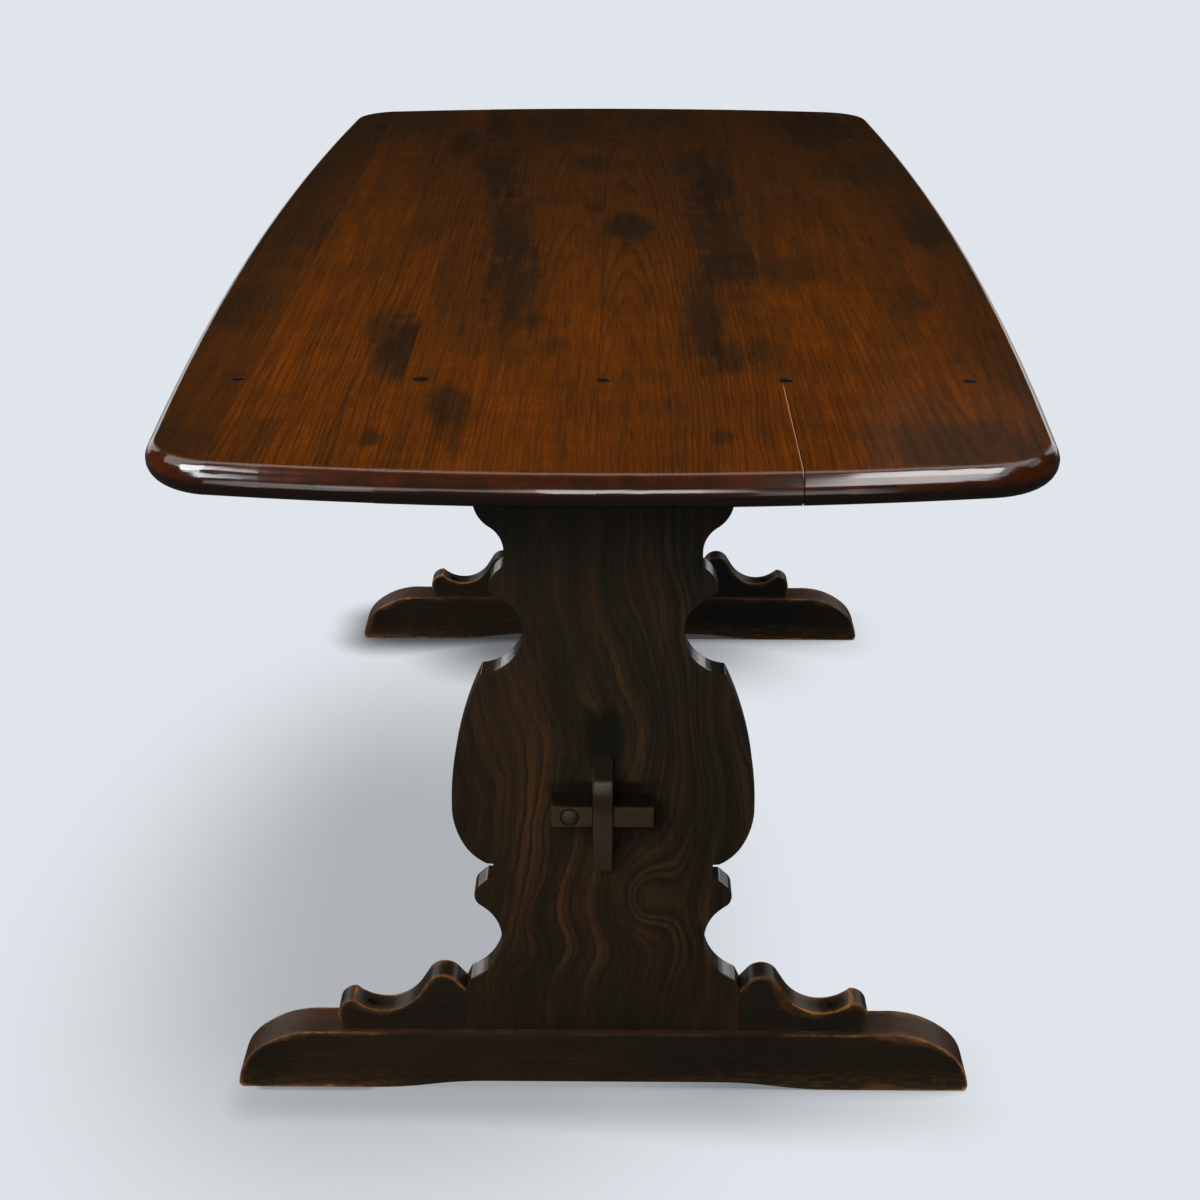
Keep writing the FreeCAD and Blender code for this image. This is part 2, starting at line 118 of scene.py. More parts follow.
def operator(operation: str, turned: bool = False) -> Callable[["Value", Any], "Value"]:
    """Make the method behind one operator of Value.

    Args:
        operation: The Math node's operation.
        turned: True for the reflected form, where this value comes second.

    Returns:
        The method.
    """
    def combine(value: "Value", other: Any) -> "Value":
        """Add the Math node."""
        parts = (other, value) if turned else (value, other)
        return value.mixer.math(operation, *parts)

    return combine


class Value:
    """A shader output that takes part in Python expressions."""

    def __init__(self, mixer: "Mixer", socket: bpy.types.NodeSocket) -> None:
        """Keep the socket and the mixer that owns it."""
        self.mixer = mixer
        self.socket = socket

    __add__ = __radd__ = operator("ADD")
    __mul__ = __rmul__ = operator("MULTIPLY")
    __sub__, __rsub__ = operator("SUBTRACT"), operator("SUBTRACT", turned=True)
    __truediv__, __rtruediv__ = operator("DIVIDE"), operator("DIVIDE", turned=True)
    __pow__, __rpow__ = operator("POWER"), operator("POWER", turned=True)

    def __neg__(self) -> "Value":
        """Change the sign."""
        return self * -1.0

    def __abs__(self) -> "Value":
        """Drop the sign."""
        return self.mixer.math("ABSOLUTE", self)

    def at_least(self, other: Any) -> "Value":
        """The larger of this value and another."""
        return self.mixer.math("MAXIMUM", self, other)

    def fade(self, start: float, end: float) -> "Value":
        """Rise smoothly from 0 at the start to 1 at the end."""
        smooth = {"interpolation_type": "SMOOTHSTEP"}
        return self.mixer.value("MapRange", smooth, self, start, end, 0.0, 1.0)

    def between(self, low: float, high: float) -> "Value":
        """Run from the low end at 0 to the high end at 1."""
        return low + self * (high - low)


def distance(first: Value, second: Value) -> Value:
    """Length of the slope over two legs."""
    return (first * first + second * second) ** 0.5


class Mixer:
    """Writes the nodes of one material or world."""

    def __init__(self, tree: bpy.types.NodeTree) -> None:
        """Start with an empty tree."""
        self.tree = tree
        tree.nodes.clear()

    def node(
        self, kind: str, settings: dict[str, Any] | None = None, *values: Any, **named: Any
    ) -> bpy.types.Node:
        """Add one node.

        Args:
            kind: The node's type, without its common prefix.
            settings: Properties, set first; "stops" fills a colour ramp.
            values: Values or links of the first sockets, in order.
            named: Values or links of sockets by name, with underscores for spaces.

        Returns:
            The new node.
        """
        node = self.tree.nodes.new("ShaderNode" + kind)
        for key, setting in (settings or {}).items():
            if key == "stops":
                self._stops(node.color_ramp, setting)
            else:
                setattr(node, key, setting)
        for socket, value in zip(node.inputs, values):
            self._feed(socket, value)
        for key, value in named.items():
            name = key.replace("_", " ")
            self._feed(next(s for s in node.inputs if s.enabled and s.name.lower() == name), value)
        return node

    def _feed(self, socket: bpy.types.NodeSocket, value: Any) -> None:
        """Link or set one socket.

        Args:
            socket: The input.
            value: A link or a constant; None leaves the socket alone.
        """
        if isinstance(value, (Value, bpy.types.NodeSocket)):
            self.tree.links.new(getattr(value, "socket", value), socket)
        elif value is not None:
            fits = socket.type == "RGBA" and len(value) == 3
            socket.default_value = (*value, 1.0) if fits else value

    @staticmethod
    def _stops(ramp: bpy.types.ColorRamp, stops: Stops) -> None:
        """Fill a ramp.

        Args:
            ramp: The ramp.
            stops: Its places and colours.
        """
        while len(ramp.elements) < len(stops):
            ramp.elements.new(1.0)
        for element, (place, colour) in zip(ramp.elements, stops):
            element.position = place
            element.color = (*colour, 1.0)

    def value(
        self, kind: str, settings: dict[str, Any] | None = None, *values: Any, **named: Any
    ) -> Value:
        """Add one node and wrap its first output."""
        return Value(self, self.node(kind, settings, *values, **named).outputs[0])

    def math(self, operation: str, *parts: Any) -> Value:
        """Add one Math node."""
        return self.value("Math", {"operation": operation}, *parts)

    def noise(self, at: Any, scale: float, detail: float = 2.0, roughness: float = 0.5) -> Value:
        """Noise from 0 to 1, about 0.5 in the middle."""
        sizes = {"scale": scale, "detail": detail, "roughness": roughness}
        return self.value("TexNoise", None, vector=at, **sizes)

    def streaks(self, at: Any) -> Value:
        """Noise along a single line, for bands of uneven width."""
        line = {"noise_dimensions": "1D"}
        return self.value("TexNoise", line, w=at, scale=1.0, detail=2.0, roughness=0.6)

    def ramp(self, value: Any, stops: Stops) -> Value:
        """Turn a value into a colour."""
        return self.value("ValToRGB", {"stops": stops}, value)

    def tint(self, share: Any, first: Any, second: Any, how: str = "MIX") -> Value:
        """Blend two colours.

        Args:
            share: Share of the second.
            first: A colour.
            second: A colour.
            how: The Mix node's way to blend.

        Returns:
            The blend.
        """
        node = self.node("Mix", {"data_type": "RGBA", "blend_type": how, "clamp_factor": True})
        for place, value in ((0, share), (6, first), (7, second)):
            self._feed(node.inputs[place], value)
        return Value(self, node.outputs[2])

    def vector(self, operation: str, *parts: Any) -> Value:
        """Add one Vector Math node."""
        return self.value("VectorMath", {"operation": operation}, *parts)

    def length(self, at: Any) -> Value:
        """Length of a vector."""
        return Value(self, self.node("VectorMath", {"operation": "LENGTH"}, at).outputs[1])

    def parts(self, at: Any) -> list[Value]:
        """The three parts of a vector."""
        return [Value(self, out) for out in self.node("SeparateXYZ", None, at).outputs]

    def join(self, first: Any, second: Any, third: Any) -> Value:
        """A vector of three parts."""
        return self.value("CombineXYZ", None, first, second, third)


def start_material(name: str) -> tuple[bpy.types.Material, Mixer]:
    """Start a material.

    Args:
        name: The material's name.

    Returns:
        The material, and what writes its nodes.
    """
    made = bpy.data.materials.new(name)
    made.use_nodes = True
    return made, Mixer(made.node_tree)


@dataclass(frozen=True)
class Patch:
    """A dark oval with a ragged edge that darkens the colour: stain on the boards, mostly painted
    shade on the trestle.
    """

    across: float
    along: float
    half_width: float
    half_length: float
    depth: float = 0.6
    lean: float = 0.0
    ragged: float = 0.9


@dataclass(frozen=True)
class Knot:
    """A place that pulls the growth lines aside."""

    across: float
    along: float
    half_width: float
    half_length: float
    pull: float
    lean: float = 0.0


@dataclass(frozen=True)
class Spot:
    """A place on a piece, in the table's axes and in those of its grain."""

    mixer: Mixer
    place: Value
    x: Value
    y: Value
    z: Value
    lie: Value
    along: Value
    across: Value
    deep: Value
    flat: Value

    @classmethod
    def read(cls, mixer: Mixer, grain: Grain, seed: float) -> "Spot":
        """Read the place from the object's coordinates.

        Args:
            mixer: Writes the nodes.
            grain: Which way the grain runs.
            seed: Shifts the noise, so that no two pieces are alike.

        Returns:
            The place.
        """
        place = Value(mixer, mixer.node("TexCoord").outputs["Object"])
        own = dict(zip("xyz", mixer.parts(place)))
        along, across, deep = (own[axis] for axis in grain.value)
        shift = (seed, seed * 0.7, seed * 1.3)
        lie = mixer.vector("ADD", mixer.join(along, across, deep), shift)
        flat = mixer.join(across, along, 0.0)
        return cls(mixer, place, *own.values(), lie, along, across, deep, flat)

    def noise(self, scale: float, detail: float = 2.0, roughness: float = 0.5) -> Value:
        """Even noise, from 0 to 1."""
        return self.mixer.noise(self.place, scale, detail, roughness)

    def drawn(
        self, along: float, across: float, detail: float = 2.0, roughness: float = 0.5
    ) -> Value:
        """Noise drawn out along the grain, from 0 to 1."""
        at = self.mixer.vector("MULTIPLY", self.lie, (along, across, across))
        return self.mixer.noise(at, 1.0, detail, roughness)

    def swing(self, *pattern: float) -> Value:
        """Noise drawn out along the grain, to both sides of 0."""
        return self.drawn(*pattern) - 0.5

    def out_of(self, oval: Patch | Knot) -> Value:
        """How far out the place is in an oval.

        Args:
            oval: The patch or knot.

        Returns:
            0 in its middle and 1 on its outline.
        """
        at = self.mixer.value(
            "Mapping",
            {"vector_type": "TEXTURE"},
            self.flat,
            location=(oval.across, oval.along, 0.0),
            rotation=(0.0, 0.0, oval.lean),
            scale=(oval.half_width, oval.half_length, 1.0),
        )
        return self.mixer.length(at)


@dataclass(frozen=True)
class Stock:
    """Stained elm: growth rings, fibres, clouds in the stain, worn edges and a satin film."""

    name: str
    grain: Grain
    tones: Stops
    level: float = 0.5
    ring_width: float = 0.004
    ring_depth: float = 0.3
    heart_across: float = 0.0
    heart_deep: float = 0.05
    lean: float = 0.02
    wander: float = 0.012
    fibre_depth: float = 0.16
    cloud_depth: float = 0.35
    cloud_scale: float = 7.0
    mottle_depth: float = 0.18
    patches: tuple[Patch, ...] = ()
    worn: Triple = (0.22, 0.085, 0.03)
    wear: float = 0.0012
    wear_strength: float = 0.7
    wear_low: float = 0.0
    middle_wear: float = 1.0
    scuff: float = 0.0
    scuff_from: float = 0.0
    scuff_fade: float = 0.14
    scuff_reach: float = 0.007
    roughness: float = 0.42
    specular: float = 0.4
    coat: float = 0.25
    coat_roughness: float = 0.25
    edge_coat: float = 0.0
    half_thickness: float = PANEL_HALF
    relief: float = 0.00025
    seed: float = 0.0

    def material(self) -> bpy.types.Material:
        """Build the finish.

        Returns:
            The new material.
        """
        made, mixer = start_material(self.name)
        spot = Spot.read(mixer, self.grain, self.seed)
        rings = self.rings(spot)
        fibres = self.fibres(spot)
        stained = self.colour(spot, self.light(spot, rings, fibres))
        colour, bare = self.worn_colour(spot, stained)
        shader = self.surface(spot, colour, rings, fibres, bare)
        mixer.node("OutputMaterial", None, shader)
        return made

    def edge(self, spot: Spot) -> Value:
        """Tell the sawn edge, 1, from the two broad faces of an upright board, 0."""
        off = abs(abs(spot.y) - TRESTLE_PLACE)
        return (self.half_thickness - off).fade(0.0003, 0.0020)

    def rings(self, spot: Spot) -> Value:
        """Growth rings cut by the face.

        Args:
            spot: Place on the piece.

        Returns:
            0 in a late-wood line, 1 in the pale early wood.
        """
        sway = spot.swing(*RING_SWAY) * 4.0 + spot.swing(*RING_TREMOR) * 0.35
        side = spot.across - self.heart_across + sway * self.wander
        rise = spot.along * self.lean + spot.deep - self.heart_deep
        radius = distance(side, rise)
        uneven = spot.mixer.streaks(radius / (self.ring_width * 5.0))
        turn = spot.mixer.math("FRACT", radius / self.ring_width + uneven * 3.0)
        line = turn.fade(0.55, 0.97) * turn.fade(1.0, 0.97)
        strong = spot.drawn(*RING_STRENGTH).fade(0.38, 0.62)
        return 1.0 - line * strong.between(0.2, 1.0)

    def fibres(self, spot: Spot) -> Value:
        """Fine fibres and open pores, 0 to 1 with 1 dark."""
        pores = spot.drawn(*PORES).fade(0.55, 0.68)
        return spot.drawn(*FIBRE_STREAKS).fade(0.38, 0.66) * 0.55 + pores * 0.45

    def light(self, spot: Spot, rings: Value, fibres: Value) -> Value:
        """How light the stained wood is.

        Args:
            spot: Place on the piece.
            rings: The growth rings.
            fibres: The fibres and pores.

        Returns:
            A value that the tones turn into a colour.
        """
        cloud = spot.swing(self.cloud_scale * CLOUD_DRAW, self.cloud_scale, 3.0, 0.55)
        stain = (spot.swing(*MOTTLE) + spot.swing(*SMUDGES) * 0.6) * self.mottle_depth
        light = self.level + cloud * self.cloud_depth + stain
        light = light * rings.between(1.0 - self.ring_depth, 1.0)
        light = light - fibres * (self.fibre_depth * self.level)
        ragged = (spot.swing(*RAGGED) + spot.swing(*RAGGED_GRAIN)) * 1.3
        # Dark patches: stain on the boards, mostly painted shade on the trestle
        for patch in self.patches:
            out = spot.out_of(patch) + ragged * patch.ragged
            light = light * (1.0 - out.fade(1.25, 0.45) * patch.depth)
        return light

    def colour(self, spot: Spot, light: Value) -> Value:
        """Turn lightness into the stained colour."""
        return spot.mixer.ramp(light, self.tones)

    def worn_colour(self, spot: Spot, colour: Value) -> tuple[Value, Value]:
        """Rub the stain off the arrises.

        Args:
            spot: Place on the piece.
            colour: The stained colour.

        Returns:
            The colour with its worn edges, and how bare the wood is.
        """
        mixer = spot.mixer
        kept = {"attribute_type": "GEOMETRY", "attribute_name": "arris"}
        arris = Value(mixer, mixer.node("Attribute", kept).outputs["Fac"])
        outer = abs(spot.x).fade(self.scuff_from, self.scuff_from + self.scuff_fade)
        rub = (spot.noise(*RUB) - 0.5) * -3.0 + (spot.noise(*GRIT) - 0.5) * 1.2
        rubbed = spot.noise(*RUBBED).fade(0.40, 0.60)
        spotty = spot.noise(*SPOTTY).fade(0.36, 0.60)
        bare = (arris + rub * self.wear).fade(self.wear, self.wear * 0.1)
        bare = bare * rubbed.between(0.15, 1.0) * spotty.between(0.45, 1.0)
        bare = bare * outer.between(self.middle_wear, 1.0) * self.wear_strength
        if self.wear_low:
            bare = bare * spot.z.fade(self.wear_low, self.wear_low + 0.012)
        if self.scuff:
            scuffed = arris - (spot.noise(*WIDE_SCUFF) - 0.5) * 0.03
            scuffed = scuffed.fade(self.scuff_reach, 0.0) * outer.between(0.06, 1.0)
            bare = bare + scuffed * spotty.between(0.4, 1.0) * self.scuff
        return mixer.tint(bare, colour, self.worn), bare

    def surface(
        self, spot: Spot, colour: Value, rings: Value, fibres: Value, bare: Value
    ) -> Value:
        """Lay the film over the colour.

        Args:
            spot: Place on the piece.
            colour: The finished colour.
            rings: The growth rings.
            fibres: The fibres and pores.
            bare: How bare the wood is.

        Returns:
            The shader.
        """
        rough = self.roughness + spot.swing(*HANDLING) * 0.16 + bare * 0.12 + fibres * 0.06
        height = rings * 0.35 - fibres + spot.drawn(*FILM) * 0.6
        bump = spot.mixer.value("Bump", None, strength=0.6, distance=self.relief, height=height)
        coat = self.edge(spot).between(self.coat, self.edge_coat) if self.edge_coat else self.coat
        return spot.mixer.value(
            "BsdfPrincipled",
            None,
            base_color=colour,
            roughness=rough,
            normal=bump,
            specular_ior_level=self.specular,
            coat_weight=coat,
            coat_roughness=self.coat_roughness,
        )


@dataclass(frozen=True)
class Board(Stock):
    """A board of the top: warm lacquered elm, redder on the nose of the edge, with painted shade in
    places.
    """

    nose: Triple = (0.030, 0.0100, 0.0040)
    nose_blotch: Triple = (0.070, 0.0130, 0.0030)
    nose_height: float = 0.7092
    underside_shade: Triple = (0.015, 0.0075, 0.0045)
    under_height: float = 0.6822
    half_length: float = 0.77
    half_width: float = 0.378
    side_shade_level: float = 0.62
    end_shade_levels: tuple[float, float] = (0.42, 0.895)
    curl: float = 0.16
    plug_spacing: float = 0.154675
    plug_radius: float = 0.006
    seams: tuple[float, float] = (-1.0, 1.0)
    seam_width: float = 0.0006
    seam_depth: float = 0.4
    chipped: bool = False
    chip_width: float = 0.0006
    chip_heights: tuple[float, float] = (0.704, 0.7095)
    bare_wood: Triple = (0.46, 0.21, 0.11)

    def light(self, spot: Spot, rings: Value, fibres: Value) -> Value:
        """Paint shade towards the sides and the far end and round the near plugs, and darken the
        seams.

        Args:
            spot: Place on the board.
            rings: The growth rings.
            fibres: The fibres and pores.

        Returns:
            A value that the tones turn into a colour.
        """
        light = super().light(spot, rings, fibres)
        light = light + spot.swing(*CURL) * self.curl * spot.along.fade(-0.6, 0.1)
        # Painted shade: darker towards the sides and the far end
        side = abs(spot.across).fade(self.half_width * 1.02, self.half_width * 0.72)
        end = spot.along.fade(self.half_length * 1.1, self.half_length * -0.9)
        light = light * side.between(self.side_shade_level, 1.0) * end.between(*self.end_shade_levels)
        left, right = self.seams
        inside = (right - left) / 2 - abs(spot.across - (left + right) / 2)
        seam = inside.fade(self.seam_width, self.seam_width * 0.3)
        return light * self.plug_ring_shade(spot) * (1.0 - seam * self.seam_depth)

    def edge(self, spot: Spot) -> Value:
        """Tell the glossy edge, 1, from the top rubbed to satin and the plain underside."""
        below_top = spot.z.fade(self.nose_height + 0.0007, self.nose_height)
        return below_top * spot.z.fade(self.under_height, self.under_height + 0.0018)

    def plug_ring_shade(self, spot: Spot) -> Value:
        """Painted shade in the ring round each plug of the near row, deepest on its far side.

        Args:
            spot: Place on the board.

        Returns:
            1 where there is no painted shade.
        """
        beside = spot.mixer.math("PINGPONG", spot.across, self.plug_spacing / 2)
        away = distance(beside, abs(spot.along) - TRESTLE_PLACE)
        ring = away.fade(self.plug_radius * 1.35, self.plug_radius * 1.08)
        shade = (spot.along + TRESTLE_PLACE).fade(-0.003, 0.004).between(0.35, 0.75)
        return 1.0 - ring * shade * spot.along.fade(0.2, -0.2)

    def colour(self, spot: Spot, light: Value) -> Value:
        """Stain the nose of the edge redder, and paint shade on its lower roll and underside.

        Args:
            spot: Place on the board.
            light: How light the wood is.

        Returns:
            The stained colour.
        """
        mixer = spot.mixer
        red = mixer.tint(spot.noise(*NOSE_BLOTCH).fade(0.38, 0.72), self.nose, self.nose_blotch)
        # Painted shade: the lower roll of the nose and the underside fade to dark
        low = spot.z.fade(self.nose_height - 0.010, self.nose_height - 0.018)
        red = mixer.tint(low, red, self.underside_shade)
        nose = spot.z.fade(self.nose_height, self.nose_height - 0.002)
        face = mixer.tint(nose, mixer.ramp(light, self.tones), red)
        if self.chipped:
            seam = self.seams[1]
            lip = spot.x.fade(seam - self.chip_width * 1.5, seam - self.chip_width * 0.8)
            lip = lip * spot.y.fade(-TRESTLE_PLACE - 0.002, -TRESTLE_PLACE - 0.03)
            face = mixer.tint(lip * spot.z.fade(*self.chip_heights) * 0.85, face, self.bare_wood)
        return face


@dataclass(frozen=True)
class Figured(Stock):
    """The trestle board: bands of growth that flow round knots and fade over the foot."""

    knots: tuple[Knot, ...] = ()
    band_width: float = 0.025
    line_width: float = 0.0088
    calm_heights: tuple[float, float] = (0.180, 0.098)
    calm_share: float = 0.74
    calm_level: float = 0.37
    olive: Triple = (0.78, 0.97, 0.98)
    olive_scale: float = 11.0
    olive_share: float = 0.9

    def rings(self, spot: Spot) -> Value:
        """Bands that follow the height lines of a bent field.

        Args:
            spot: Place on the board.

        Returns:
            0 in a dark line, towards 1 in a pale band.
        """
        mixer = spot.mixer
        broad = spot.swing(*FIGURE_SWAY)
        sway = broad * 5.0 + spot.swing(*FIGURE_TREMOR) * 0.45
        line = spot.across + spot.deep * 0.4 + sway * self.wander
        for knot in self.knots:
            away = spot.out_of(knot)
            line = line - mixer.math("EXPONENT", -(away * away)) * knot.pull
        bands = mixer.streaks(line / self.band_width).fade(0.40, 0.62)
        uneven = mixer.streaks(line / (self.line_width * 3.0))
        turn = mixer.math("FRACT", line / self.line_width + uneven * 2.0)
        lines = turn.fade(0.50, 0.90) * turn.fade(1.0, 0.93)
        clear = spot.drawn(*FIGURE_STRENGTH).fade(0.36, 0.60)
        figure = 0.32 + bands * clear.between(0.3, 0.68)
        figure = figure * (1.0 - lines * clear.between(0.28, 0.70))
        calm = (spot.along + broad * 0.10).fade(*self.calm_heights) * self.calm_share
        return figure + (self.calm_level - figure) * calm

    def colour(self, spot: Spot, light: Value) -> Value:
        """Let the stain turn olive in places.

        Args:
            spot: Place on the board.
            light: How light the wood is.

        Returns:
            The stained colour.
        """
        at = spot.mixer.vector("MULTIPLY", spot.place, (2.0, 2.0, 1.0))
        olive = spot.mixer.noise(at, self.olive_scale, 4.0, 0.62).fade(0.40, 0.60)
        face = super().colour(spot, light)
        return spot.mixer.tint(olive * self.olive_share, face, self.olive, "MULTIPLY")


@dataclass(frozen=True)
class FootStock(Stock):
    """The foot's wood: a lighter brown painted sheen on top, and rubbed golden in specks along the
    floor.
    """

    half_thickness: float = FOOT_HALF
    top_sheen: Triple = (0.064, 0.030, 0.016)
    golden: Triple = (0.085, 0.044, 0.014)
    golden_share: float = 0.8
    specks: Triple = (60.0, 60.0, 190.0)

    def colour(self, spot: Spot, light: Value) -> Value:
        """Paint a brown sheen on the top and rub the lower edge.

        Args:
            spot: Place on the foot.
            light: How light the wood is.

        Returns:
            The stained colour.
        """
        mixer = spot.mixer
        # Painted sheen: the top face is tinted a lighter brown
        top = self.edge(spot) * spot.z.fade(0.012, 0.040)
        blotch = spot.noise(*FOOT_BLOTCH).fade(0.34, 0.64)
        face = mixer.tint(top * blotch.between(0.35, 0.90), super().colour(spot, light), self.top_sheen)
        specks = mixer.noise(mixer.vector("MULTIPLY", spot.place, self.specks), 1.0, 4.0, 0.7)
        ends = spot.x.fade(-0.02, 0.16) + spot.x.fade(-0.17, -0.25) * 0.6
        rubbed = spot.z.fade(0.030, 0.002) * ends * specks.fade(0.46, 0.62).between(0.25, 1.0)
        return mixer.tint(rubbed * self.golden_share, face, self.golden)


@dataclass(frozen=True)
class RailStock(Stock):
    """The stretcher's wood, with painted shade on top of its tenons and a painted shadow ring round
    their pegs.
    """

    tenon_top: float = 0.321
    peg_across: float = -0.030
    peg_height: float = 0.31025
    peg_radius: float = 0.00725

    def colour(self, spot: Spot, light: Value) -> Value:
        """Paint shade on the tops of the tenons outside the panels, and a shadow ring round the
        peg.

        Args:
            spot: Place on the rail.
            light: How light the wood is.

        Returns:
            The stained colour.
        """
        mixer = spot.mixer
        outside = abs(spot.y).fade(PANEL_FACE - 0.002, PANEL_FACE)
        top = spot.z.fade(self.tenon_top - 0.0012, self.tenon_top - 0.0002)
        # Painted shade on the tenon's top outside the panel
        face = mixer.tint(outside * top * 0.8, super().colour(spot, light), PAINTED_SHADE)
        # Painted shadow ring round the peg
        away = distance(spot.x - self.peg_across, spot.z - self.peg_height)
        ring = away.fade(self.peg_radius * 1.35, self.peg_radius * 1.1)
        return mixer.tint(outside * ring * 0.85, face, PAINTED_SHADE)


@dataclass(frozen=True)
class Steel:
    """Old screw steel: dull, spotted and a little scratched."""

    name: str
    scratches: Triple = (300.0, 300.0, 4000.0)
    tones: Stops = ((0.35, (0.07, 0.055, 0.045)), (0.6, (0.36, 0.35, 0.33)))

    def material(self) -> bpy.types.Material:
        """Build the finish.

        Returns:
            The new material.
        """
        made, mixer = start_material(self.name)
        place = mixer.node("TexCoord").outputs["Object"]
        spots = mixer.noise(place, 900.0, 3.0, 0.6)
        turned = mixer.noise(mixer.vector("MULTIPLY", place, self.scratches), 1.0)
        shader = mixer.value(
            "BsdfPrincipled",
            None,
            base_color=mixer.ramp(spots, self.tones),
            roughness=0.32 + spots * 0.3,
            metallic=spots.fade(0.35, 0.55),
            normal=mixer.value("Bump", None, strength=0.4, distance=0.0001, height=turned),
        )
        mixer.node("OutputMaterial", None, shader)
        return made


AMBER: Stops = (
    (0.0, (0.008, 0.006, 0.005)),
    (0.22, (0.024, 0.0118, 0.0050)),
    (0.45, (0.055, 0.0170, 0.0036)),
    (0.70, (0.110, 0.0262, 0.0026)),
    (1.0, (0.200, 0.0520, 0.0058)),
)
UMBER: Stops = (
    (0.0, (0.0062, 0.0050, 0.0034)),
    (0.30, (0.0125, 0.0096, 0.0060)),
    (0.55, (0.0240, 0.0152, 0.0084)),
    (0.80, (0.0440, 0.0215, 0.0094)),
    (1.0, (0.0720, 0.0310, 0.0115)),
)
SMOKED: Stops = (
    (0.0, (0.0060, 0.0045, 0.0028)),
    (0.4, (0.0165, 0.0110, 0.0060)),
    (0.75, (0.0400, 0.0215, 0.0090)),
    (1.0, (0.0900, 0.0400, 0.0130)),
)
DRIED: Stops = (
    (0.0, (0.0060, 0.0045, 0.0030)),
    (0.5, (0.0280, 0.0185, 0.0105)),
    (1.0, (0.0750, 0.0560, 0.0350)),
)


def steps(length: float, spacing: float) -> list[float]:
    """Even shares from 0 to 1 along a line, set no farther apart than the spacing."""
    count = max(1, math.ceil(length / spacing))
    return [step / count for step in range(count + 1)]


def add_object(name: str, data: Any) -> bpy.types.Object:
    """Put new data in the scene.

    Args:
        name: The object's name.
        data: Its mesh, lamp or camera.

    Returns:
        The object, at the origin.
    """
    made = bpy.data.objects.new(name, data)
    bpy.context.scene.collection.objects.link(made)
    return made


